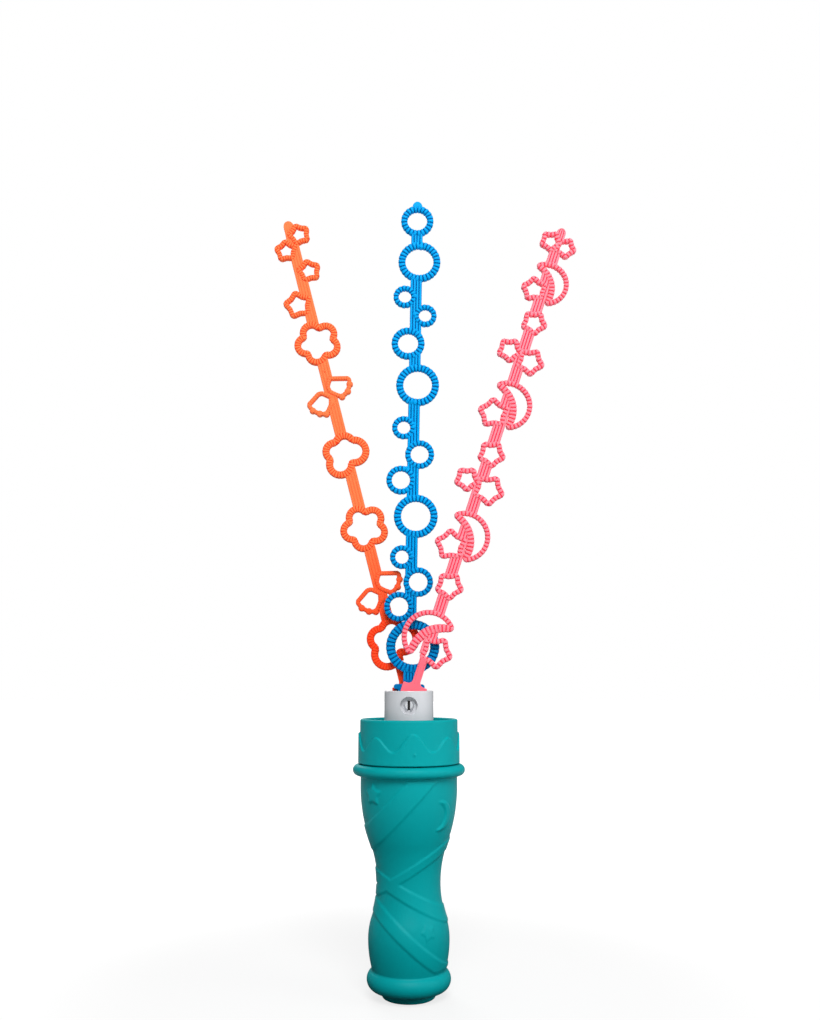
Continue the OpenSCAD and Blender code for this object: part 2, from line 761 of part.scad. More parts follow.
// The foot's hub and shoulders, with fillets up to the plain neck
module shouldered_foot() {
    circle(hub_r);
    stem(0, foot_top, 2 * foot_half);
    stem(foot_top, wand_neck_top, wand_neck_w);
    for (side = [0, 1]) {
        mirror([side, 0]) translate([wand_neck_w / 2, foot_top]) difference() {
            square(neck_fillet);
            translate([neck_fillet, neck_fillet]) circle(neck_fillet);
        }
    }
}

// The middle wand's foot, with lugs that ride just above the holder's rim
module lugged_foot() {
    circle(hub_r);
    stem(0, foot_top - lug_h, 2 * foot_half);
    stem(0, foot_top, stem_w);
    translate([0, foot_top - lug_h / 2]) square([2 * lug_reach - lug_h, lug_h], center = true);
    for (side = [-1, 1]) translate([side * (lug_reach - lug_h / 2), foot_top - lug_h / 2]) circle(lug_h / 2);
}

module leaned(lean, layer) {
    translate([0, layer * layer_pitch, pivot_z]) rotate([0, lean, 0]) children();
}

// A wand from its foot, its stem and its hoops, given as children: foot, tip, then the hoops as holes, as
// bands, filled and as ribs
module wand(stem_from, stem_to) {
    difference() {
        union() {
            plate(hub_t) children(0);
            plate(plate_t) {
                difference() {
                    union() {
                        stem(stem_from, stem_to, stem_w);
                        children(1);
                    }
                    children(2);
                }
                children(3);
            }
            plate(plate_t + 2 * ridge_rise) difference() {
                ridges(stem_from, stem_to);
                children(4);
            }
            plate(plate_t + 2 * rib_rise) children(5);
        }
        plate(hub_t + 2 * overrun) circle(pin_r + hub_fit);
    }
}

module round_tip(length) {
    translate([0, length - stem_w / 2]) circle(stem_w / 2);
}

module wand_blue() {
    color("#0A8FDC") leaned(blue_lean, 0) wand(foot_top, blue_length - 2 * tip_r) {
        lugged_foot();
        translate([0, blue_length - tip_r]) circle(tip_r);
        blue_hoops("hole");
        blue_hoops("band");
        blue_hoops("filled");
        blue_hoops("ribs");
    }
}

module wand_orange() {
    color("#F5723F") leaned(-orange_lean, 1) wand(wand_neck_top, orange_length - stem_w / 2) {
        shouldered_foot();
        round_tip(orange_length);
        orange_hoops("hole");
        orange_hoops("band");
        orange_hoops("filled");
        orange_hoops("ribs");
    }
}

module wand_pink() {
    color("#FA8094") leaned(pink_lean, -1) wand(wand_neck_top, pink_length - stem_w / 2) {
        shouldered_foot();
        round_tip(pink_length);
        pink_hoops("hole");
        pink_hoops("band");
        pink_hoops("filled");
        pink_hoops("ribs");
    }
}

handle_shell();
collar();
sealing_washer();
wand_holder();
pivot_pin();
wand_orange();
wand_blue();
wand_pink();
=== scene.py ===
"""Bubble wand: a teal grip with a collar, a white post, and three ribbed dipping wands that fan on one pin.

Shapes are worked out in millimetres in the part's own frame and put into the meshes in metres.
"""
import math

import bmesh
import bpy
import numpy as np
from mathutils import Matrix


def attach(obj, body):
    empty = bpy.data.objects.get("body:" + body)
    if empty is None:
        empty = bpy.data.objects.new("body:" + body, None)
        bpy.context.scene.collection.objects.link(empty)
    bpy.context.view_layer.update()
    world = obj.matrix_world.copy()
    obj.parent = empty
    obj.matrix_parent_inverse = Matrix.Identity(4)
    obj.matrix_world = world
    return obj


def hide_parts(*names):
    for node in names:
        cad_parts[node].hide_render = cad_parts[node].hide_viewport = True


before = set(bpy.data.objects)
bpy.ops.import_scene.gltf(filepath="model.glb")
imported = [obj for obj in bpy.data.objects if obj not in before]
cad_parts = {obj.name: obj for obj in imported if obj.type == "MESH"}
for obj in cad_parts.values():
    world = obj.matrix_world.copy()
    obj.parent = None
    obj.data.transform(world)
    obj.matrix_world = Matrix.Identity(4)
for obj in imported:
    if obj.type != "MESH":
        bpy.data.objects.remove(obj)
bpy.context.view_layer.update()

MM = 0.001
MERGE_REACH = 0.001 * MM
TAU = 2 * math.pi

# Grip sizes in millimetres
FOOT_R, FOOT_ROUND, FOOT_H = 11.6, 1.0, 3.4
FOOT_BEAD_R, FOOT_BEAD_Z, FOOT_BEAD_ROUND = 18.2, 7.6, 4.6
SWELL_R, SWELL_Z, SWELL_CURVE_R, SWELL_FOOT_Z = 17.7, 24.0, 46.0, 9.0
WAIST_R, WAIST_Z = 13.9, 46.5
SHOULDER_R, SHOULDER_Z = 21.5, 88.0
FLANGE_R, FLANGE_Z, FLANGE_ROUND = 25.0, 94.95, 2.4
NECK_R, NECK_TOP = 20.0, 104.0
# The wall, and the height left free between the foot's bead and the body's first point
GRIP_WALL, BODY_GAP = 1.6, 0.15
# The hollow arc's share in the S curves below and above the waist
LOWER_HOLLOW_SHARE, UPPER_HOLLOW_SHARE = 0.6, 0.42
# Softened edges of the mouldings, from the largest down
FOOT_EDGE, EDGE, SMALL_EDGE, FINE_EDGE = 0.35, 0.3, 0.2, 0.1
# Points round the grip and the collar, and the step between points up their outlines
GRIP_COLUMNS, GRIP_STEP = 360, 0.55
COLLAR_COLUMNS, COLLAR_STEP = 480, 0.22

# Relief on the grip: its height, the figures' height in reliefs, and the heights where it starts and ends
RELIEF, FIGURE_RISE, FAINT_RISE = 0.45, 1.5, 0.6
RELIEF_FOOT, RELIEF_TOP = (12.0, 13.5), (90.8, 92.8)
# Half widths of the slopes at the edges of ribbons and figures, and of the faint star
RELIEF_EDGE, FAINT_EDGE = 0.35, 0.4
# Ribbons round the grip: height at the axis, slant in degrees, width
RIBBONS = ((85.2, 47, 9.4), (53.0, 32, 3.4), (43.0, -28, 5.2), (25.6, -41, 5.3))
# Figures: place round the grip in degrees, height, radius; then a star's valleys as a share of its tips,
# the distance between a moon's two circles, and the stars' turns
STAR_FIGURE, MOON_FIGURE, FAINT_STAR_FIGURE = (-46, 85.6, 4.7), (41, 76.8, 6.2), (29, 29.5, 3.6)
FIGURE_VALLEY_SHARE, MOON_FIGURE_BITE = 0.6, 3.41
STAR_UPRIGHT, FAINT_STAR_TURN = math.pi / 2, math.pi / 2 + 0.3

# Collar sizes in millimetres
COLLAR_IN, COLLAR_WALL, COLLAR_FOOT, COLLAR_H = 20.1, 1.8, 97.65, 19.4
COLLAR_FLOOR, COLLAR_FLOOR_T, POST_CLEAR_R = 105.6, 1.6, 11.35
# The wave: rise from the wall, crest over trough, drop of every other crest, trough over the collar's foot
WAVE_RISE, WAVE_H, WAVE_DROP, WAVE_TROUGH = 0.8, 7.6, 1.6, 5.9
WAVES, WAVE_TURN = 8, math.radians(5)
# Heights over the collar's foot between which the wave sets in, and the depth that counts as the outer face
WAVE_FOOT, FACE_DEPTH = (-0.05, 0.4), 0.5
# The gate mark on the collar: turn, height above its foot, size, rise
GATE_TURN, GATE_Z, GATE_SIZE, GATE_RISE = math.radians(6.6), 5.07, 0.35, 0.35

# Tones of surfaces without ribs, and the painted light that makes raised relief a little lighter; ribs run
# from 0 in a groove, where a low tone is painted shade, to 1 on top
MOULDING_TONE, RELIEF_PAINTED_LIGHT = 0.5, 0.1
HUB_TONE, BEAD_TONE = 0.6, 0.9

# Wand sizes in millimetres
PIVOT_Z, LAYER_PITCH = 123.1, 3.8
PLATE_T, RIB_RISE, RIB_PROUD, GROOVE_SIDE, GROOVE_DEPTH = 2.4, 0.4, 0.2, 0.14, 0.55
RIB_PITCH, FINE_PITCH = 1.8, 1.25
# Values of a rib's cosine from the bottom of its groove to its flat top
GROOVE_SPAN = (-1.0, -0.1)
# Points along the line for each rib, points round the bar, and the powers that square off bars and beads
RIB_STEPS, BAR_SIDES, BAR_POWER, BEAD_POWER = 8, 16, 0.55, 0.6
# Half the plate over a bend's radius, where a corner begins to be tight and where it fully is,
# and how far a tight corner's outer side is drawn in
TIGHT_BENDS, CORNER_PULL = (0.5, 2.0), 0.2
# Share of a bend's radius that a bar's inner side may fill
BEND_ROOM = 0.9
# How much stronger a groove's painted shade is than its depth
GROOVE_TONE = 2.0
BEAD_RINGS, BEAD_SIDES, BEAD_PROUD = 13, 20, 0.05
# Stems: sizes, distances from the tip between which the width changes, and points along, at the tip, across
STEM_W, RIDGES, RIDGE_RISE, STEM_SINK, STEM_EDGE = 5.6, 4, 0.25, 0.35, 0.45
STEM_TAPER = (14, 5)
STEM_ROWS, TIP_ROWS, STEM_COLUMNS = 300, 14, 45
# Values of a ridge's cosine from the bottom of its groove to its flat top
RIDGE_SPAN = (-0.95, 0.0)
# A stem's outer strips: where they begin, how high they stand, and between which shares they fall off
STRIP_START, STRIP_RIDGE, STRIP_FALL = 0.95, 0.75, (0.94, 1.0)
# No hoop reaches this far along the stem from its middle
HOOP_REACH = 16
HUB_R, HUB_T, HUB_BORE, HUB_EDGE, FOOT_TOP = 5.6, 3.6, 2.05, 0.25, 9.3
NECK_W, NECK_END, NECK_FILLET = 3.6, 20.0, 2.0
# A hub's corner radius, and how far in from its side the flat top starts
HUB_CORNER, HUB_TOP_IN = 0.5, 0.8
LUG_REACH, LUG_H, LUG_BEVEL = 7.0, 2.5, 0.4
# How far a foot runs on under its stem, the gap before a new run of points, and steps along its outline
FOOT_LAP, POINT_GAP = 2, 0.3
SIDE_STEP, TOP_STEP, NECK_STEP = 0.6, 0.4, 0.5
# Roundness of corners: the reach of the mean in each kind of hoop
LOBE_EASE, STAR_EASE, MOON_EASE, WING_EASE = 0.35, 0.9, 0.8, 1.0
# A star's valleys as a share of its tips, a moon's inner radius as a share of its outer one, and the power
# that shapes its swell
STAR_VALLEY_SHARE, MOON_INNER_SHARE, MOON_SWELL_POWER = 0.7, 1.3, 0.4
# Distances from the pivot between which a wand's painted shade, darker towards its foot, fades out
PAINTED_SHADE_SPAN = (25, 100)


# Meshes

def grid_faces(rows, columns, close_rows=False, close_columns=False):
    """Quads between the points of a grid; the last row or column joins the first where it closes."""
    i = np.arange(rows if close_rows else rows - 1)[:, None]
    j = np.arange(columns if close_columns else columns - 1)[None, :]
    up, right = (i + 1) % rows, (j + 1) % columns
    corners = [i * columns + j, i * columns + right, up * columns + right, up * columns + j]
    return np.stack(corners, -1).reshape(-1, 4)


def outward(points, faces):
    """Turns every face round if the signed volume, the sum of corner . (corner x corner), is negative."""
    a, b, c, d = (points[faces[:, k]] for k in range(4))
    volume = np.einsum("ij,ij->", a, np.cross(b, c)) + np.einsum("ij,ij->", a, np.cross(c, d))
    return faces if volume > 0 else faces[:, ::-1]


def joined(shells):
    """One set of points, faces and tones from several shells."""
    starts = np.cumsum([0] + [len(points) for points, _, _ in shells[:-1]])
    sides = [outward(points, faces) + start for (points, faces, _), start in zip(shells, starts)]
    return (np.concatenate([points for points, _, _ in shells]), np.concatenate(sides),
            np.concatenate([tone for _, _, tone in shells]))


def piece(name, shell, body, slot, material, *nodes):
    """A mesh in metres from a shell in millimetres, its poles merged to single points.

    Its tone attribute is 1 on raised detail and 0 in grooves; in the wands' grooves the low tone paints
    shade.
    """
    points, faces, tone = shell
    mesh = bpy.data.meshes.new(name)
    mesh.from_pydata(points * MM, [], faces)
    mesh.attributes.new("tone", "FLOAT", "POINT").data.foreach_set("value", tone.astype(np.float32))
    merged = bmesh.new()
    merged.from_mesh(mesh)
    bmesh.ops.remove_doubles(merged, verts=merged.verts, dist=MERGE_REACH)
    merged.to_mesh(mesh)
    merged.free()
    mesh.polygons.foreach_set("use_smooth", np.ones(len(mesh.polygons), dtype=bool))
    mesh.materials.append(material)
    mesh.update()
    made = bpy.data.objects.new(name, mesh)
    bpy.context.scene.collection.objects.link(made)
    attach(made, body)
    if nodes:
        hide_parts(*nodes)
    return made


def smooth_step(value, low, high):
    """0 below low, 1 above high, and a cubic in between."""
    t = np.clip((value - low) / (high - low), 0, 1)
    return t * t * (3 - 2 * t)


def arc(centre, radius, start, end, count):
    """Points on a circle from one angle to another, in degrees."""
    turn = np.radians(np.linspace(start, end, count))
    return np.stack([centre[0] + radius * np.cos(turn), centre[1] + radius * np.sin(turn)], -1)


def spaced(path, step):
    """The same open line with its points a step apart along it."""
    along = np.concatenate([[0], np.cumsum(np.linalg.norm(np.diff(path, axis=0), axis=1))])
    at = np.linspace(0, along[-1], max(2, int(round(along[-1] / step)) + 1))
    return np.stack([np.interp(at, along, path[:, k]) for k in range(path.shape[1])], -1)


# Grip

def s_curve(r_small, z_small, r_big, z_big, share, count=24):
    """Two tangent arcs, upright at both ends: a hollow one with a share of the radii's sum, and a crown."""
    gap, rise = r_big - r_small, z_big - z_small
    total = (gap * gap + rise * rise) / (2 * gap)
    hollow, crown = total * share, total * (1 - share)
    turn = np.linspace(0, math.asin(rise / total), count)
    low = np.stack([r_small + hollow * (1 - np.cos(turn)), z_small + hollow * np.sin(turn)], -1)
    high = np.stack([r_big - crown * (1 - np.cos(turn)), z_big - crown * np.sin(turn)], -1)
    return np.concatenate([low, high[::-1][1:]])


def body_outline():
    """Radius and height along the body: a round rise to the swell, and S curves to waist and shoulder."""
    drop = math.degrees(math.asin((SWELL_Z - SWELL_FOOT_Z) / SWELL_CURVE_R))
    low = arc((SWELL_R - SWELL_CURVE_R, SWELL_Z), SWELL_CURVE_R, -drop, 0, 20)
    to_waist = s_curve(WAIST_R, WAIST_Z, SWELL_R, SWELL_Z, LOWER_HOLLOW_SHARE)[::-1]
    to_shoulder = s_curve(WAIST_R, WAIST_Z, SHOULDER_R, SHOULDER_Z, UPPER_HOLLOW_SHARE)
    return np.concatenate([low, to_waist[1:], to_shoulder[1:]])


def star_edge(x, z, tip, turn):
    """Signed distance, positive inside, to the edge of a five-pointed star, folded into one half point."""
    a = np.angle(np.exp(1j * (np.arctan2(z, x) - turn)) ** 5) / 5
    r = np.hypot(x, z)
    px, pz = r * np.cos(a), r * np.abs(np.sin(a))
    valley = tip * FIGURE_VALLEY_SHARE
    ex, ez = valley * math.cos(TAU / 10) - tip, valley * math.sin(TAU / 10)
    return (ex * pz - ez * (px - tip)) / math.hypot(ex, ez)


def grip_relief(angle, r, z):
    """Height of the raised figures, in reliefs.

    Four ribbons lie between slanted planes. A moon, which is one circle less another, and two stars are
    drawn on the unrolled surface.
    """
    x = r * np.sin(angle)

    def ribbon(z_axis, slant, width):
        away = (z - z_axis) * math.cos(math.radians(slant)) - x * math.sin(math.radians(slant))
        return smooth_step(width / 2 - np.abs(away), -RELIEF_EDGE, RELIEF_EDGE)

    def unrolled(turn, height):
        return r * np.angle(np.exp(1j * (angle - math.radians(turn)))), z - height

    turn, height, tip = STAR_FIGURE
    star = smooth_step(star_edge(*unrolled(turn, height), tip, STAR_UPRIGHT), -RELIEF_EDGE, RELIEF_EDGE)
    turn, height, radius = MOON_FIGURE
    mx, mz = unrolled(turn, height)
    crescent = np.minimum(radius - np.hypot(mx, mz), np.hypot(mx + MOON_FIGURE_BITE, mz) - radius)
    moon = smooth_step(crescent, -RELIEF_EDGE, RELIEF_EDGE)
    turn, height, tip = FAINT_STAR_FIGURE
    faint = smooth_step(star_edge(*unrolled(turn, height), tip, FAINT_STAR_TURN), -FAINT_EDGE, FAINT_EDGE)
    raised = [ribbon(*row) for row in RIBBONS] + [FIGURE_RISE * star, FIGURE_RISE * moon, FAINT_RISE * faint]
    within = smooth_step(z, *RELIEF_FOOT) * (1 - smooth_step(z, *RELIEF_TOP))
    return np.maximum.reduce(raised) * within


def turned(profile, columns):
    """Angle, radius and height of a profile's points carried round the axis."""
    angle = np.linspace(0, TAU, columns, endpoint=False)
    r, z = (np.broadcast_to(profile[:, k, None], (len(profile), columns)) for k in (0, 1))
    return angle, r, z


def grip_shell():
    """The outline turned about Z and raised by the figures, then down the bore and the hollow inside."""
    body = body_outline()
    bead = arc((FOOT_BEAD_R - FOOT_BEAD_ROUND, FOOT_BEAD_Z), FOOT_BEAD_ROUND, -118, 44, 40)
    body = body[body[:, 1] > bead[-1, 1] + BODY_GAP]
    flange = arc((FLANGE_R - FLANGE_ROUND, FLANGE_Z), FLANGE_ROUND, -100, 100, 36)
    flange_top, bore_r, floor_r = FLANGE_Z + FLANGE_ROUND, NECK_R - GRIP_WALL, FOOT_R - GRIP_WALL
    outer = np.concatenate([
        [[0.0, 0.0]], spaced(np.array([[0.5, 0.0], [FOOT_R - FOOT_ROUND, 0.0]]), 3),
        arc((FOOT_R - FOOT_ROUND, FOOT_ROUND), FOOT_ROUND, -80, 0, 8), [[FOOT_R, FOOT_H]], bead,
        spaced(np.concatenate([body, [[SHOULDER_R, flange[0, 1] - SMALL_EDGE]]]), GRIP_STEP), flange,
        [[NECK_R + SMALL_EDGE, flange_top + 0.02], [NECK_R, flange_top + EDGE],
         [NECK_R, NECK_TOP - EDGE], [NECK_R - EDGE, NECK_TOP]]])
    hollow = body[::-6] - [GRIP_WALL, 0]
    inner = np.concatenate([
        [[bore_r + EDGE, NECK_TOP], [bore_r, NECK_TOP - EDGE], [bore_r, SHOULDER_Z + 1]],
        hollow[hollow[:, 1] < SHOULDER_Z],
        [[floor_r, GRIP_WALL + 1], [floor_r - 1, GRIP_WALL], [0.0, GRIP_WALL]]])
    profile = np.concatenate([outer, inner])
    angle, r, z = turned(profile, GRIP_COLUMNS)
    raised = grip_relief(angle[None, :], r, z) * (np.arange(len(profile)) < len(outer))[:, None]
    r = r + RELIEF * raised * (r > 1)
    points = np.stack([r * np.sin(angle), -r * np.cos(angle), z], -1).reshape(-1, 3)
    faces = grid_faces(len(profile), GRIP_COLUMNS, close_columns=True)
    # Painted light: raised figures get a slightly higher tone
    return points, faces, MOULDING_TONE + RELIEF_PAINTED_LIGHT * raised.reshape(-1)


# Collar

def wave_height(angle):
    """Height of the wave round the collar: a cosine from crest to trough, with every other crest lower."""
    turn = angle - WAVE_TURN
    low = 0.5 - 0.5 * np.sign(np.cos(turn * WAVES / 2))
    return WAVE_TROUGH + (WAVE_H - WAVE_DROP * low) * (0.5 + 0.5 * np.cos(turn * WAVES))


def collar_shell():
    """A turned ring with a round lip, a floor and a gate mark; under the wave its face stands out."""
    out_r, lip = COLLAR_IN + COLLAR_WALL, COLLAR_WALL / 2
    top, floor_top = COLLAR_FOOT + COLLAR_H, COLLAR_FLOOR + COLLAR_FLOOR_T
    wall = spaced(np.array([[out_r, COLLAR_FOOT + FOOT_EDGE], [out_r, top - lip]]), COLLAR_STEP)
    profile = np.concatenate([
        [[COLLAR_IN, COLLAR_FOOT + SMALL_EDGE], [COLLAR_IN + SMALL_EDGE, COLLAR_FOOT],
         [out_r - FOOT_EDGE, COLLAR_FOOT], [out_r - FINE_EDGE, COLLAR_FOOT + FINE_EDGE]],
        wall, arc((out_r - lip, top - lip), lip, 0, 180, 18)[1:],
        [[COLLAR_IN, floor_top + EDGE], [COLLAR_IN - EDGE, floor_top],
         [POST_CLEAR_R + SMALL_EDGE, floor_top], [POST_CLEAR_R, floor_top - SMALL_EDGE],
         [POST_CLEAR_R, COLLAR_FLOOR + SMALL_EDGE], [POST_CLEAR_R + SMALL_EDGE, COLLAR_FLOOR],
         [COLLAR_IN - FINE_EDGE, COLLAR_FLOOR], [COLLAR_IN, COLLAR_FLOOR - FINE_EDGE]]])
    angle, r, z = turned(profile, COLLAR_COLUMNS)
    up, face = z - COLLAR_FOOT, r > out_r - FACE_DEPTH
    under = smooth_step(wave_height(angle)[None, :] - up, -EDGE, EDGE)
    layer = under * smooth_step(up, *WAVE_FOOT) * face * (z < top - lip)
    spot = ((angle - GATE_TURN) * out_r) ** 2 + (up - GATE_Z) ** 2
    r = r + WAVE_RISE * layer + GATE_RISE * np.exp(-spot / (2 * GATE_SIZE ** 2)) * face
    points = np.stack([r * np.sin(angle), -r * np.cos(angle), z], -1).reshape(-1, 3)
    faces = grid_faces(len(profile), COLLAR_COLUMNS, close_rows=True, close_columns=True)
    # Painted light: the raised wave layer gets a slightly higher tone
    return points, faces, MOULDING_TONE + RELIEF_PAINTED_LIGHT * layer.reshape(-1)


# Hoops, drawn as closed middle lines in the wand's own plane: across, then along from the pivot

def even(path, count):
    """A closed line with count points evenly spaced along it."""
    line = np.concatenate([path, path[:1]])
    along = np.concatenate([[0], np.cumsum(np.linalg.norm(np.diff(line[:, :2], axis=0), axis=1))])
    at = np.linspace(0, along[-1], count, endpoint=False)
    return np.stack([np.interp(at, along, line[:, k]) for k in range(line.shape[1])], -1)


def eased(path, reach):
    """A closed line with rounded corners: each point becomes a mean of its neighbours within the reach."""
    count = 720
    line = even(path, count)
    step = np.linalg.norm(line[1, :2] - line[0, :2])
    wide = max(1, int(round(reach / step)))
    weights = np.hanning(2 * wide + 3)[1:-1]
    around = np.concatenate([weights[wide:], np.zeros(count - 2 * wide - 1), weights[:wide]])
    kernel = np.fft.fft(around / weights.sum())
    return np.stack([np.real(np.fft.ifft(np.fft.fft(column) * kernel)) for column in line.T], -1)


def ring_line(radius):
    """A circle."""
    return arc((0, 0), radius, 0, 360, 361)[:-1]


def lobed_line(lobes):
    """The outside of a union of circles: along each ray from the middle, the furthest of their crossings."""
    rays = 1440
    turn = np.linspace(0, TAU, rays, endpoint=False)[:, None]
    across, along, radius = (np.array(lobes)[:, k][None, :] for k in range(3))
    toward = across * np.cos(turn) + along * np.sin(turn)
    room = radius ** 2 - (across ** 2 + along ** 2 - toward ** 2)
    reach = np.where(room >= 0, toward + np.sqrt(np.maximum(room, 0)), 0).max(axis=1)
    return eased(np.stack([reach * np.cos(turn[:, 0]), reach * np.sin(turn[:, 0])], -1), LOBE_EASE)


def star_line(tip, turn):
    """Ten points at tip and valley radius in turn, with eased corners."""
    k = np.arange(10)
    r = np.where(k % 2 == 0, tip, STAR_VALLEY_SHARE * tip)
    a = math.radians(turn) + k * TAU / 10
    return eased(np.stack([r * np.cos(a), r * np.sin(a)], -1), STAR_EASE)


def moon_line(r, turn, reach):
    """An outer arc between two horns, and back along the flatter arc of a larger circle.

    Its third column is the band's width, which swells by the reach away from the hole along the inner arc.
    """
    count = 200
    inner = MOON_INNER_SHARE * r
    horn = math.degrees(math.acos((inner ** 2 - 2 * r ** 2) / (2 * r * r)))
    back = math.degrees(math.asin(r * math.sin(math.radians(horn)) / inner))
    swell = reach * np.sin(np.linspace(0, math.pi, count)) ** MOON_SWELL_POWER
    outer_arc = np.pad(arc((0, 0), r, -horn, horn, count), ((0, 0), (0, 1)), constant_values=MOON_BAND)
    a, radius = np.radians(np.linspace(back, -back, count)), inner - swell / 2
    inner_arc = np.stack([radius * np.cos(a) - r, radius * np.sin(a), MOON_BAND + swell], -1)
    c, s = math.cos(math.radians(turn)), math.sin(math.radians(turn))
    line = np.concatenate([outer_arc, inner_arc[1:-1]]) @ np.array([[c, s, 0], [-s, c, 0], [0, 0, 1]])
    return eased(line, MOON_EASE)


def squared(turn, power):
    """Cosine and sine with their sizes raised to a power below 1, which squares off a circle."""
    c, s = np.cos(turn), np.sin(turn)
    return np.sign(c) * np.abs(c) ** power, np.sign(s) * np.abs(s) ** power


def bends(along, step):
    """How sharply a closed line turns at each point, per millimetre, from the directions beside it."""
    before, after = np.roll(along, 1, axis=0), np.roll(along, -1, axis=0)
    cross = before[:, 0] * after[:, 1] - before[:, 1] * after[:, 0]
    return np.arctan2(cross, (before * after).sum(axis=1)) / (2 * step)


def hoop_shell(line, band, depth, pitch):
    """A rounded bar carried round a closed line; across it run flat ribs with narrow grooves between them.

    The depth, 0 to 1, is how deep the grooves are. The band is one width, or None where the line carries it.
    In a tight bend the bar's inner side stops short of the bend's own centre, and its outer side is drawn in,
    so that a corner stays a corner.
    """
    length = np.linalg.norm((line - np.roll(line, 1, axis=0))[:, :2], axis=1).sum()
    path = even(line, int(round(length / pitch)) * RIB_STEPS)
    band = path[:, 2] if band is None else band
    path = path[:, :2]
    along = np.roll(path, -1, axis=0) - np.roll(path, 1, axis=0)
    side = np.stack([along[:, 1], -along[:, 0]], -1) / np.linalg.norm(along, axis=1)[:, None]
    groove = 1 - smooth_step(np.cos(TAU * np.arange(len(path)) / RIB_STEPS), *GROOVE_SPAN)
    across, through = squared(np.linspace(0, TAU, BAR_SIDES, endpoint=False), BAR_POWER)
    wide = band / 2 + RIB_PROUD - GROOVE_SIDE * depth * groove
    deep = PLATE_T / 2 + RIB_RISE - GROOVE_DEPTH * depth * groove
    bend = bends(along, length / len(path))[:, None]
    room = BEND_ROOM / np.maximum(np.abs(bend), 1e-6)
    tight = smooth_step(np.abs(bend) * PLATE_T / 2, *TIGHT_BENDS)
    offset = wide[:, None] * across[None, :]
    drawn_in = offset * (1 - CORNER_PULL * tight)
    offset = np.where(offset * bend < 0, np.clip(offset, -room, room), drawn_in)
    flat = path[:, None, :] + side[:, None, :] * offset[:, :, None]
    y = deep[:, None] * through[None, :]
    points = np.stack([flat[:, :, 0], y, flat[:, :, 1]], -1).reshape(-1, 3)
    # Painted shade in the grooves, stronger than their depth
    tone = 1 - min(1.0, GROOVE_TONE * depth) * groove
    return points, grid_faces(len(path), BAR_SIDES, True, True), np.repeat(tone, BAR_SIDES)


def bead_shell(across, along, radius):
    """A flattened ball: a squared-off half circle turned about the wand's thickness."""
    rise, turn = np.meshgrid(np.linspace(-math.pi / 2, math.pi / 2, BEAD_RINGS),
                             np.linspace(0, TAU, BEAD_SIDES, endpoint=False), indexing="ij")
    flat, thick = squared(rise, BEAD_POWER)
    flat, thick = flat * radius, thick * (PLATE_T / 2 + RIB_RISE + BEAD_PROUD)
    points = np.stack([across + flat * np.cos(turn), thick, along + flat * np.sin(turn)], -1).reshape(-1, 3)
    faces = grid_faces(BEAD_RINGS, BEAD_SIDES, close_columns=True)
    return points, faces, np.full(len(points), BEAD_TONE)


# Stems and feet

def inside(x, y, line):
    """Even-odd test of many points against a closed line."""
    x0, y0 = line[:, 0], line[:, 1]
    x1, y1 = np.roll(x0, -1), np.roll(y0, -1)
    cross = (y0 > y[..., None]) != (y1 > y[..., None])
    at = x0 + (y[..., None] - y0) * (x1 - x0) / np.where(y1 == y0, 1, y1 - y0)
    return (cross & (x[..., None] < at)).sum(axis=-1) % 2 == 1


def walled(front, back, kept):
    """A front and a back grid without the quads that are not kept, and walls along every open edge.

    It gives points, faces and each point's number in the grid.
    """
    rows, columns = front.shape[:2]
    count = rows * columns
    quads = grid_faces(rows, columns)[kept.reshape(-1)]
    framed = np.pad(kept, 1)
    index = np.arange(count).reshape(rows, columns)
    a, b, c, d = index[:-1, :-1], index[:-1, 1:], index[1:, 1:], index[1:, :-1]
    faces = [quads, quads[:, ::-1] + count]
    for beside, first, second in ((framed[:-2, 1:-1], a, b), (framed[1:-1, 2:], b, c),
                                  (framed[2:, 1:-1], c, d), (framed[1:-1, :-2], d, a)):
        start, end = first[kept & ~beside], second[kept & ~beside]
        faces.append(np.stack([end, start, start + count, end + count], -1))
    used, faces = np.unique(np.concatenate(faces), return_inverse=True)
    points = np.concatenate([front.reshape(-1, 3), back.reshape(-1, 3)])[used]
    return points, faces.reshape(-1, 4), used % count


def stem_shell(start, end, tip, plain, lines, depth):
    """A ridged strip that narrows to a round tip, left out inside the hoops' middle lines."""
    share = np.concatenate([[-1, -0.965], np.linspace(-0.92, 0.92, STEM_COLUMNS), [0.965, 1]])
    cap = tip * np.sin(np.linspace(0.1, math.pi / 2 - 0.02, TIP_ROWS))
    along = np.concatenate([np.linspace(start, end - tip, STEM_ROWS), end - tip + cap])
    half = STEM_W / 2 + (tip - STEM_W / 2) * smooth_step(along, *(end - np.array(STEM_TAPER)))
    round_half = np.sqrt(np.maximum(tip ** 2 - (along - end + tip) ** 2, 0.01))
    half = np.where(along > end - tip, round_half, half)
    u, q = np.meshgrid(along, share, indexing="ij")
    v = q * half[:, None]
    ridge = smooth_step(-np.cos(TAU * RIDGES * q / 2), *RIDGE_SPAN)
    ridge = np.where(np.abs(q) < STRIP_START, ridge, STRIP_RIDGE)
    ridge = np.maximum(ridge, smooth_step(u, end - plain, end - plain + 1))
    # Lowers the grooves, and as their tone paints shade in them
    raised = 1 - depth * (1 - ridge)
    fall = STEM_EDGE * smooth_step(np.abs(q), *STRIP_FALL)
    height = PLATE_T / 2 - STEM_SINK + RIDGE_RISE * raised - fall
    mid_u, mid_v = (u[1:, 1:] + u[:-1, :-1]) / 2, (v[1:, 1:] + v[:-1, :-1]) / 2
    kept = np.ones(mid_u.shape, dtype=bool)
    for line in lines:
        near = np.abs(mid_u - line[:, 1].mean()) < HOOP_REACH
        kept[near] &= ~inside(mid_v[near], mid_u[near], line[::4])
    points, faces, used = walled(np.stack([v, -height, u], -1), np.stack([v, height, u], -1), kept)
    return points, faces, raised.reshape(-1)[used]


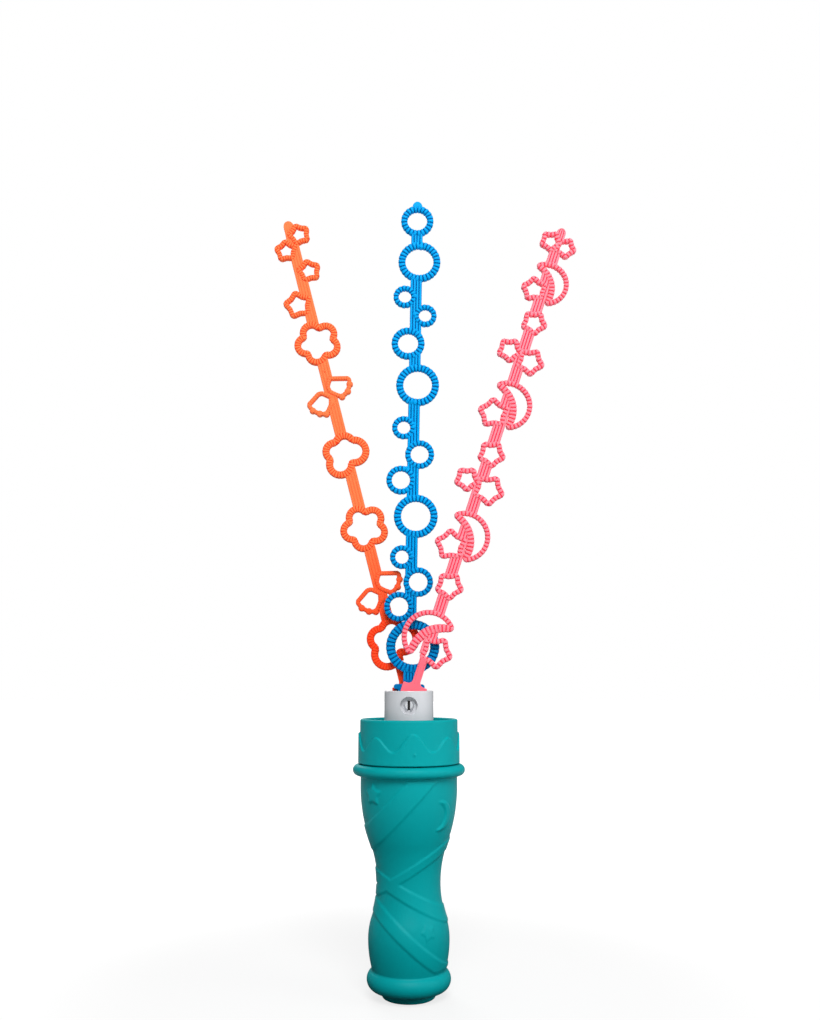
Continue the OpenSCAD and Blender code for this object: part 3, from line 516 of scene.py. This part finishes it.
def plain_shell(outline, thickness, bore):
    """A flat piece with rounded edges: its outline joined to a bore about the pivot, front and back."""
    turn = np.arctan2(outline[:, 1], outline[:, 0])
    hole = bore * np.stack([np.cos(turn), np.sin(turn)], -1)
    along = np.roll(outline, -1, axis=0) - np.roll(outline, 1, axis=0)
    length = np.maximum(np.linalg.norm(along, axis=1), 1e-6)[:, None]
    inward = HUB_EDGE * np.stack([-along[:, 1], along[:, 0]], -1) / length
    half = thickness / 2
    front = [(hole, -half), (hole * (1 + HUB_EDGE / bore), -half), (outline + inward * 1.5, -half),
             (outline + inward, -half), (outline + inward * 0.3, -half + HUB_EDGE * 0.3),
             (outline, -half + HUB_EDGE)]
    loops = front + [(flat, -y) for flat, y in front[::-1]]
    points = [np.stack([flat[:, 0], np.full(len(flat), y), flat[:, 1]], -1) for flat, y in loops]
    points = np.concatenate(points)
    return points, grid_faces(len(loops), len(outline), True, True), np.full(len(points), HUB_TONE)


def mirrored(half):
    """A right half and its mirror image as one closed outline."""
    return np.concatenate([half, half[::-1][:-1] * [-1, 1]])


def shouldered_outline():
    """A hub with square shoulders, filleted up to a plain neck."""
    neck, end = NECK_W / 2, NECK_END + FOOT_LAP
    fillet_x, fillet_z = neck + NECK_FILLET, FOOT_TOP + NECK_FILLET
    return mirrored(np.concatenate([
        arc((0, 0), HUB_R, -90, 0, 30),
        spaced(np.array([[HUB_R, POINT_GAP], [HUB_R, FOOT_TOP - HUB_CORNER]]), SIDE_STEP),
        arc((HUB_R - HUB_CORNER, FOOT_TOP - HUB_CORNER), HUB_CORNER, 10, 90, 6),
        spaced(np.array([[HUB_R - HUB_TOP_IN, FOOT_TOP], [fillet_x, FOOT_TOP]]), TOP_STEP),
        arc((fillet_x, fillet_z), NECK_FILLET, -90, -180, 12)[1:],
        spaced(np.array([[neck, fillet_z + SMALL_EDGE], [neck, end], [POINT_GAP, end]]), NECK_STEP)]))


def lugged_outline():
    """A hub with straight sides and round lugs under the stem."""
    lug_r, stem, end = LUG_H / 2, STEM_W / 2, FOOT_TOP + FOOT_LAP
    top = np.array([[stem + LUG_BEVEL, FOOT_TOP], [stem, FOOT_TOP + LUG_BEVEL],
                    [stem, end], [POINT_GAP, end]])
    return mirrored(np.concatenate([
        arc((0, 0), HUB_R, -90, 0, 30),
        spaced(np.array([[HUB_R, POINT_GAP], [HUB_R, FOOT_TOP - LUG_H]]), SIDE_STEP),
        arc((LUG_REACH - lug_r, FOOT_TOP - lug_r), lug_r, -90, 90, 14)[1:], spaced(top, TOP_STEP)]))


# Wands

def placed(line, across, along):
    """The line moved in the wand's plane; a third column, its width, stays."""
    return line + np.array([across, along, 0])[:line.shape[1]]


def wand_piece(name, hoops, stem, outline, lean, layer, body, slot, material, node,
               stem_depth=1, beads=(), painted_shade=0, pitch=RIB_PITCH):
    """The hoops, the stem and the foot of one wand, leaned about the pivot into its layer.

    The stem depth is that of the stem's grooves; the painted shade is how far the colour goes over to the
    grooves' tone towards the foot, where the other wands shade it.
    """
    lines = [line for line, _, _ in hoops]
    shells = [stem_shell(*stem, lines, stem_depth), plain_shell(outline, HUB_T, HUB_BORE)]
    shells += [hoop_shell(*hoop, pitch) for hoop in hoops]
    shells += [bead_shell(*bead) for bead in beads]
    points, faces, tone = joined(shells)
    x, y, z = points.T
    # Painted shade: the tone falls off towards the foot
    tone = tone * (1 - painted_shade * (1 - smooth_step(z, *PAINTED_SHADE_SPAN)))
    c, s = math.cos(math.radians(lean)), math.sin(math.radians(lean))
    leaned = np.stack([x * c + z * s, y + layer * LAYER_PITCH, z * c - x * s + PIVOT_Z], -1)
    return piece(name, (leaned, faces, tone), body, slot, material, node)


BLUE_LENGTH, ORANGE_LENGTH, PINK_LENGTH = 244.3, 243.7, 240.8
BLUE_LEAN, ORANGE_LEAN, PINK_LEAN = 1.0, -14.4, 18.2
# Stems: start, end, radius of the tip, length of the plain end
BLUE_STEM = (FOOT_TOP + 0.5, BLUE_LENGTH - 0.5, 2.4, 4.5)
ORANGE_STEM = (NECK_END, ORANGE_LENGTH - 0.8, 2.5, 4.5)
PINK_STEM = (NECK_END + 3.5, PINK_LENGTH - 1.0, 2.2, 0)
# How far the blue and orange wands are darkened towards the foot by painted shade
BLUE_PAINTED_SHADE, ORANGE_PAINTED_SHADE = 0.35, 0.75
ORANGE_GROOVE, WING_GROOVE, ORANGE_STEM_GROOVE = 0.45, 0.2, 0.35
RING_HOLES, RING_BANDS = (3.2, 4.4, 5.0, 7.0, 8.1), (2.2, 2.3, 2.8, 3.1, 3.9)
# Place along the wand, place across its stem, kind of ring
RINGS = ((0.957, 0, 2), (0.870, 0.25, 3), (0.796, -0.96, 0), (0.757, 0.82, 0), (0.699, -0.61, 2),
         (0.614, 0.27, 3), (0.528, -0.84, 0), (0.475, 0.54, 1), (0.424, -1, 1), (0.354, 0.3, 3),
         (0.275, -0.79, 0), (0.228, 0.59, 1), (0.181, -0.96, 1), (0.107, 0.23, 4))
STAR_TIP, STAR_BAND, MOON_R, MOON_BAND = 6.9, 2.1, 11.2, 2.1
WING_REACH, WING_BAND, SCALLOP_R = 11.5, 1.7, 1.6
# Corners of a butterfly's wings as shares of the reach; the fourth to sixth carry round bumps
RIGHT_WING = ((0.05, 0.5), (0.14, 0.6), (0.9, 0.42), (0.87, 0.16), (0.72, -0.12), (0.43, -0.29),
              (0.18, -0.12), (-0.01, 0.05), (-0.05, 0.3))
LEFT_WING = ((-0.03, 0.11), (-0.09, -0.2), (-0.23, -0.4), (-0.38, -0.56), (-0.64, -0.48), (-0.89, -0.28),
             (-1.01, 0), (-0.5, 0.36), (-0.34, 0.36))
# Roots of the wings along the orange wand
WINGS = ((0.624, RIGHT_WING), (0.61, LEFT_WING), (0.2245, RIGHT_WING), (0.21, LEFT_WING))
# Smooth round pads where hoops meet the stem: place along the wand, place across its stem, radius
BLUE_PADS = ((0.902, 0.37, 1.3), (0.797, -0.1, 1.2), (0.759, -0.08, 1.2), (0.579, 0.07, 1.2),
             (0.529, 0, 1.2), (0.446, -0.53, 1.3), (0.405, -0.49, 1.2), (0.276, 0.05, 1.2))
ORANGE_PADS = ((0.669, -0.02, 0.55), (0.603, -0.08, 1.6), (0.203, -0.04, 1.6))
# Place along the wand, place across its stem, size, turn in degrees
ORANGE_STARS = ((0.964, 0.71, 0.74, 26), (0.936, -0.73, 0.74, 154), (0.883, 0.78, 0.77, 18),
                (0.818, -0.86, 0.93, 18))
PINK_STARS = ((0.963, -0.65, 0.7, 0), (0.958, 0.71, 0.7, 0), (0.855, -0.73, 0.84, 36),
              (0.787, 0.14, 0.83, 0), (0.718, -1.12, 0.81, 0), (0.707, 0.83, 0.91, 0),
              (0.585, -0.78, 0.99, 36), (0.505, 0.12, 0.87, 0), (0.443, -1.18, 0.78, 0),
              (0.435, 0.8, 1, 0), (0.311, -0.78, 0.99, 36), (0.235, 0.15, 0.87, 0), (0.108, 0.78, 1, 0))
# The same for moons, with the swell of the inner arc in millimetres
PINK_MOONS = ((0.873, 0.07, 0.89, 29, 0.7), (0.608, 0.09, 0.97, 29, 1.2), (0.334, 0.07, 0.97, 29, 1.2),
              (0.131, -0.15, 1, 137, 1.8))
# Flowers: distance of the petals from the middle, their hole's radius, their band, places along the wand
PETAL_RING, PETAL_HOLE, PETAL_BAND, FLOWERS = 5.75, 2.7, 2.9, (0.731, 0.3455)
# A clover's lobes as shares of its widest one: across, along, hole radius
CLOVER = np.array([[1.05, -0.08, 1], [0.12, 1.02, 0.68], [-1.18, 0.48, 0.68], [-0.9, -1.2, 0.92]])
# Clovers: their band, then place along the wand and size of each
CLOVER_BAND, CLOVERS = 3.1, ((0.4985, 4.0), (0.123, 4.5))


def blue_hoops():
    """Rings with their middle line half a band outside the hole."""
    return [(placed(ring_line(RING_HOLES[kind] + RING_BANDS[kind] / 2), across * STEM_W, along * BLUE_LENGTH),
             RING_BANDS[kind], 1) for along, across, kind in RINGS]


def star_hoops(rows, length, depth):
    """Stars from a table of places, sizes and turns."""
    return [(placed(star_line(size * STAR_TIP, turn), across * STEM_W, along * length), STAR_BAND, depth)
            for along, across, size, turn in rows]


def orange_hoops():
    """Stars, then five-petalled flowers, four-lobed clovers and butterflies' wings along the stem."""
    turns = [math.radians(180 - 72 * k) for k in range(5)]
    petals = [[PETAL_RING * math.cos(turn), PETAL_RING * math.sin(turn), PETAL_HOLE + PETAL_BAND / 2]
              for turn in turns]
    rows = [(lobed_line(petals), share, PETAL_BAND, ORANGE_GROOVE) for share in FLOWERS]
    rows += [(lobed_line(CLOVER * size + [0, 0, CLOVER_BAND / 2]), share, CLOVER_BAND, ORANGE_GROOVE)
             for share, size in CLOVERS]
    rows += [(eased(WING_REACH * np.array(corners), WING_EASE), share, WING_BAND, WING_GROOVE)
             for share, corners in WINGS]
    return star_hoops(ORANGE_STARS, ORANGE_LENGTH, ORANGE_GROOVE) + [
        (placed(line, 0, share * ORANGE_LENGTH), band, depth) for line, share, band, depth in rows]


def pink_hoops():
    """Stars, then moons, whose lines carry their own width."""
    return star_hoops(PINK_STARS, PINK_LENGTH, 1) + [
        (placed(moon_line(size * MOON_R, turn, reach), across * STEM_W, along * PINK_LENGTH), None, 1)
        for along, across, size, turn, reach in PINK_MOONS]


def pads(rows, length):
    """Places in millimetres and radii of the pads in a table."""
    return [(across * STEM_W, along * length, radius) for along, across, radius in rows]


def scallops():
    """The round bumps on the lower corners of each wing."""
    return [(across, along + share * ORANGE_LENGTH, SCALLOP_R) for share, corners in WINGS
            for across, along in WING_REACH * np.array(corners[3:6])]


# Materials

GRAIN_DETAIL, BUMP_DEPTH = 3, 0.2 * MM
# The clouds' size, and how much they change the tone and the roughness
CLOUD_SCALE, CLOUD_DETAIL, CLOUD_TONE, CLOUD_ROUGHNESS = 55, 2, 0.22, 0.12
# Tones with clouds that give the groove's and the raised colour
TONE_SPAN = (0.1, 1.05)
COAT_ROUGHNESS = 0.2
# The painted shade in the pin's slot: half the slot's width and its depth, each from one edge of the blur to
# the other, and the shade's colour
SLOT_HALF, SLOT_DEPTH, SLOT_SHADE_COLOUR = (0.6 * MM, 0.66 * MM), (0.1 * MM, 0.35 * MM), (0.02, 0.012, 0.012, 1)


def math_node(nodes, operation):
    """A node for one kind of sum."""
    made = nodes.new("ShaderNodeMath")
    made.operation = operation
    return made


def range_node(nodes, source, target=(0.0, 1.0)):
    """A node that maps one range of values to another."""
    made = nodes.new("ShaderNodeMapRange")
    made.inputs["From Min"].default_value, made.inputs["From Max"].default_value = source
    made.inputs["To Min"].default_value, made.inputs["To Max"].default_value = target
    return made


def colour_mix(nodes):
    """A node that mixes two colours."""
    made = nodes.new("ShaderNodeMix")
    made.data_type = "RGBA"
    return made


def moulding_group():
    """Moulded plastic on Object coordinates: fine grain for the bump, slow clouds for colour and gloss."""
    group = bpy.data.node_groups.new("moulded_plastic", "ShaderNodeTree")
    for way, name, kind in (("INPUT", "Raised Colour", "Color"), ("INPUT", "Groove Colour", "Color"),
                            ("INPUT", "Grain Scale", "Float"), ("INPUT", "Gloss", "Float"),
                            ("OUTPUT", "Colour", "Color"), ("OUTPUT", "Roughness", "Float"),
                            ("OUTPUT", "Height", "Float")):
        group.interface.new_socket(name, in_out=way, socket_type="NodeSocket" + kind)
    nodes, link = group.nodes, group.links.new
    entry, leave = nodes.new("NodeGroupInput"), nodes.new("NodeGroupOutput")
    place = nodes.new("ShaderNodeTexCoord")
    tone = nodes.new("ShaderNodeAttribute")
    tone.attribute_name = "tone"
    grain = nodes.new("ShaderNodeTexNoise")
    grain.inputs["Detail"].default_value = GRAIN_DETAIL
    link(place.outputs["Object"], grain.inputs["Vector"])
    link(entry.outputs["Grain Scale"], grain.inputs["Scale"])
    cloud = nodes.new("ShaderNodeTexNoise")
    cloud.inputs["Scale"].default_value = CLOUD_SCALE
    cloud.inputs["Detail"].default_value = CLOUD_DETAIL
    link(place.outputs["Object"], cloud.inputs["Vector"])
    shade = math_node(nodes, "MULTIPLY_ADD")
    shade.inputs[1].default_value = CLOUD_TONE
    link(cloud.outputs["Fac"], shade.inputs[0])
    link(tone.outputs["Fac"], shade.inputs[2])
    # A low tone takes the groove colour, painted shade on the wands
    level = range_node(nodes, TONE_SPAN)
    link(shade.outputs[0], level.inputs["Value"])
    mix = colour_mix(nodes)
    link(level.outputs["Result"], mix.inputs["Factor"])
    link(entry.outputs["Groove Colour"], mix.inputs["A"])
    link(entry.outputs["Raised Colour"], mix.inputs["B"])
    link(mix.outputs["Result"], leave.inputs["Colour"])
    gloss = math_node(nodes, "MULTIPLY_ADD")
    gloss.inputs[1].default_value = CLOUD_ROUGHNESS
    link(cloud.outputs["Fac"], gloss.inputs[0])
    link(entry.outputs["Gloss"], gloss.inputs[2])
    link(gloss.outputs[0], leave.inputs["Roughness"])
    link(grain.outputs["Fac"], leave.inputs["Height"])
    return group


MOULDED = moulding_group()


def plastic(name, raised, groove, roughness, grain_scale, bump, specular=0.5, coat=0.0):
    """A moulded plastic in two tones, raised and groove, with its grain as a bump."""
    made = bpy.data.materials.new(name)
    made.use_nodes = True
    nodes, link = made.node_tree.nodes, made.node_tree.links.new
    shader = nodes["Principled BSDF"]
    moulded = nodes.new("ShaderNodeGroup")
    moulded.node_tree = MOULDED
    moulded.inputs["Raised Colour"].default_value = (*raised, 1)
    moulded.inputs["Groove Colour"].default_value = (*groove, 1)
    moulded.inputs["Grain Scale"].default_value = grain_scale
    moulded.inputs["Gloss"].default_value = roughness
    relief = nodes.new("ShaderNodeBump")
    relief.inputs["Strength"].default_value = bump
    relief.inputs["Distance"].default_value = BUMP_DEPTH
    link(moulded.outputs["Colour"], shader.inputs["Base Color"])
    link(moulded.outputs["Roughness"], shader.inputs["Roughness"])
    link(moulded.outputs["Height"], relief.inputs["Height"])
    link(relief.outputs["Normal"], shader.inputs["Normal"])
    shader.inputs["Specular IOR Level"].default_value = specular
    shader.inputs["Coat Weight"].default_value = coat
    shader.inputs["Coat Roughness"].default_value = COAT_ROUGHNESS
    return made


TEAL = plastic("satin_teal_plastic", (0.0, 0.36, 0.38), (0.0, 0.28, 0.30), 0.42, 900, 0.12, specular=0.08)
WHITE = plastic("gloss_white_plastic", (0.68, 0.69, 0.71), (0.60, 0.61, 0.64), 0.14, 1400, 0.05, coat=0.3)
LINER = plastic("soft_white_liner", (0.72, 0.72, 0.70), (0.62, 0.62, 0.60), 0.6, 700, 0.2)
# The wands' groove colours, darker than their raised ones, are painted shade in the grooves
ORANGE = plastic("orange_wand_plastic", (0.98, 0.195, 0.065), (0.96, 0.028, 0.003), 0.34, 1100, 0.04,
                 specular=0.04)
BLUE = plastic("blue_wand_plastic", (0.0, 0.34, 0.79), (0.0, 0.06, 0.23), 0.34, 1100, 0.04, specular=0.04)
PINK = plastic("pink_wand_plastic", (0.98, 0.24, 0.30), (0.98, 0.012, 0.06), 0.34, 1100, 0.04, specular=0.1)


def slot_shaded_plastic(pin):
    """The white plastic with painted shade in the slot: near the pin's middle plane and behind its front
    face.
    """
    made = WHITE.copy()
    made.name = "slot_shaded_white_plastic"
    nodes, link = made.node_tree.nodes, made.node_tree.links.new
    place, split = nodes.new("ShaderNodeTexCoord"), nodes.new("ShaderNodeSeparateXYZ")
    link(place.outputs["Object"], split.inputs[0])
    side = math_node(nodes, "ABSOLUTE")
    link(split.outputs["X"], side.inputs[0])
    within = range_node(nodes, SLOT_HALF, (1.0, 0.0))
    link(side.outputs[0], within.inputs["Value"])
    face = min(corner[1] for corner in pin.bound_box)
    behind = range_node(nodes, [face + depth for depth in SLOT_DEPTH])
    link(split.outputs["Y"], behind.inputs["Value"])
    slot_shade = math_node(nodes, "MULTIPLY")
    link(within.outputs["Result"], slot_shade.inputs[0])
    link(behind.outputs["Result"], slot_shade.inputs[1])
    mix = colour_mix(nodes)
    link(slot_shade.outputs[0], mix.inputs["Factor"])
    shader = nodes["Principled BSDF"]
    link(shader.inputs["Base Color"].links[0].from_socket, mix.inputs["A"])
    mix.inputs["B"].default_value = SLOT_SHADE_COLOUR
    link(mix.outputs["Result"], shader.inputs["Base Color"])
    return made


# Pieces

piece("grip_body", grip_shell(), "grip", "grip", TEAL, "handle_shell")
piece("collar_ring", collar_shell(), "grip", "collar", TEAL, "collar")
wand_piece("orange_fan_wand", orange_hoops(), ORANGE_STEM, shouldered_outline(), ORANGE_LEAN, 1,
           "orange_wand", "orange", ORANGE, "wand_orange", ORANGE_STEM_GROOVE,
           scallops() + pads(ORANGE_PADS, ORANGE_LENGTH), ORANGE_PAINTED_SHADE, FINE_PITCH)
wand_piece("blue_fan_wand", blue_hoops(), BLUE_STEM, lugged_outline(), BLUE_LEAN, 0,
           "blue_wand", "blue", BLUE, "wand_blue", beads=pads(BLUE_PADS, BLUE_LENGTH),
           painted_shade=BLUE_PAINTED_SHADE)
wand_piece("pink_fan_wand", pink_hoops(), PINK_STEM, shouldered_outline(), PINK_LEAN, -1,
           "pink_wand", "pink", PINK, "wand_pink")
FINISHES = (("wand_holder", WHITE), ("pivot_pin", slot_shaded_plastic(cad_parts["pivot_pin"])),
            ("sealing_washer", LINER))
for node, finish in FINISHES:
    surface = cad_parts[node].data
    surface.materials.clear()
    surface.materials.append(finish)


# Stage, light and camera

FLOOR_SIDE = 12.0
# Distances from the axis, in metres, between which the floor's shadow fades out
SHADOW_REACH = (0.1, 0.35)
# How white the floor is made to the camera near and far, and with what strength
FLOOR_WHITENING, FLOOR_GLOW = (0.6, 1.0), 1.27
# The floor's grey, and its greys near and far for the light that it throws back on the object
FLOOR_GREY, FLOOR_BOUNCE = 0.5, (0.1, 0.9)
# Light from all round, and the backdrop's white
WORLD_LIGHT, WORLD_WHITE = 0.22, 1.0
# Lamps: name, place in metres, side, power in watts; all are turned to one point
LAMPS = (("key", (0.15, -1.3, 1.35), 0.9, 29), ("fill", (1.3, -0.5, 0.6), 0.8, 6),
         ("back", (-0.4, 1.3, 1.1), 0.9, 10))
LAMP_AIM = (0, 0, 0.2)
# Camera: place in metres, tilt in degrees from straight down, lens and sensor width in millimetres
CAMERA_PLACE, CAMERA_TILT, CAMERA_LENS, CAMERA_SENSOR = (0.0005, -0.4499, 0.134), 99.902, 34.474, 36.0


def stage_material():
    """Pale floor, white to the camera; near the object some real light is left in it, and so its shadow."""
    made = bpy.data.materials.new("pale_floor")
    made.use_nodes = True
    nodes, link = made.node_tree.nodes, made.node_tree.links.new
    nodes.clear()
    place = nodes.new("ShaderNodeTexCoord")
    far = nodes.new("ShaderNodeVectorMath")
    far.operation = "LENGTH"
    link(place.outputs["Object"], far.inputs[0])
    share = range_node(nodes, SHADOW_REACH, FLOOR_WHITENING)
    share.interpolation_type = "SMOOTHSTEP"
    link(far.outputs["Value"], share.inputs["Value"])
    rays = nodes.new("ShaderNodeLightPath")
    seen = math_node(nodes, "MULTIPLY")
    link(rays.outputs["Is Camera Ray"], seen.inputs[0])
    link(share.outputs["Result"], seen.inputs[1])
    thrown = range_node(nodes, SHADOW_REACH, FLOOR_BOUNCE)
    link(far.outputs["Value"], thrown.inputs["Value"])
    grey = nodes.new("ShaderNodeMix")
    grey.inputs["B"].default_value = FLOOR_GREY
    link(rays.outputs["Is Camera Ray"], grey.inputs["Factor"])
    link(thrown.outputs["Result"], grey.inputs["A"])
    lit = nodes.new("ShaderNodeBsdfDiffuse")
    link(grey.outputs["Result"], lit.inputs["Color"])
    white = nodes.new("ShaderNodeEmission")
    white.inputs["Strength"].default_value = FLOOR_GLOW
    mix = nodes.new("ShaderNodeMixShader")
    link(seen.outputs[0], mix.inputs["Fac"])
    link(lit.outputs[0], mix.inputs[1])
    link(white.outputs[0], mix.inputs[2])
    link(mix.outputs[0], nodes.new("ShaderNodeOutputMaterial").inputs["Surface"])
    return made


def floor():
    """A square under the object."""
    half = FLOOR_SIDE / 2
    mesh = bpy.data.meshes.new("floor")
    corners = [(-half, -half, 0), (half, -half, 0), (half, half, 0), (-half, half, 0)]
    mesh.from_pydata(corners, [], [(0, 1, 2, 3)])
    mesh.materials.append(stage_material())
    made = bpy.data.objects.new("floor", mesh)
    bpy.context.scene.collection.objects.link(made)


def backdrop_world():
    """Soft light from all round; a white backdrop to the camera and through clear things."""
    world = bpy.data.worlds.new("studio")
    bpy.context.scene.world = world
    world.use_nodes = True
    nodes, link = world.node_tree.nodes, world.node_tree.links.new
    nodes.clear()
    rays = nodes.new("ShaderNodeLightPath")
    seen = math_node(nodes, "MAXIMUM")
    link(rays.outputs["Is Camera Ray"], seen.inputs[0])
    link(rays.outputs["Is Transmission Ray"], seen.inputs[1])
    mix = nodes.new("ShaderNodeMixShader")
    link(seen.outputs[0], mix.inputs["Fac"])
    for entry, strength in ((1, WORLD_LIGHT), (2, WORLD_WHITE)):
        light = nodes.new("ShaderNodeBackground")
        light.inputs["Color"].default_value = (1, 1, 1, 1)
        light.inputs["Strength"].default_value = strength
        link(light.outputs[0], mix.inputs[entry])
    link(mix.outputs[0], nodes.new("ShaderNodeOutputWorld").inputs["Surface"])


def soft_box(name, place, size, power):
    """A square lamp turned towards the lamps' common point."""
    lamp = bpy.data.lights.new(name, "AREA")
    lamp.shape, lamp.size, lamp.energy = "SQUARE", size, power
    made = bpy.data.objects.new(name, lamp)
    bpy.context.scene.collection.objects.link(made)
    way = np.array(LAMP_AIM) - np.array(place)
    tilt = math.acos(-way[2] / np.linalg.norm(way))
    made.location = place
    made.rotation_euler = (tilt, 0, math.atan2(way[1], way[0]) - math.pi / 2)


def photo_camera():
    """The photograph's view: in front of the axis, a little above the collar, tilted up about 10 degrees."""
    lens = bpy.data.cameras.new("photo_view")
    lens.lens, lens.sensor_width = CAMERA_LENS, CAMERA_SENSOR
    made = bpy.data.objects.new("photo_view", lens)
    bpy.context.scene.collection.objects.link(made)
    made.location = CAMERA_PLACE
    made.rotation_euler = (math.radians(CAMERA_TILT), 0, 0)
    bpy.context.scene.camera = made


floor()
backdrop_world()
for lamp_row in LAMPS:
    soft_box(*lamp_row)
photo_camera()
bpy.context.scene.view_settings.view_transform = "Standard"
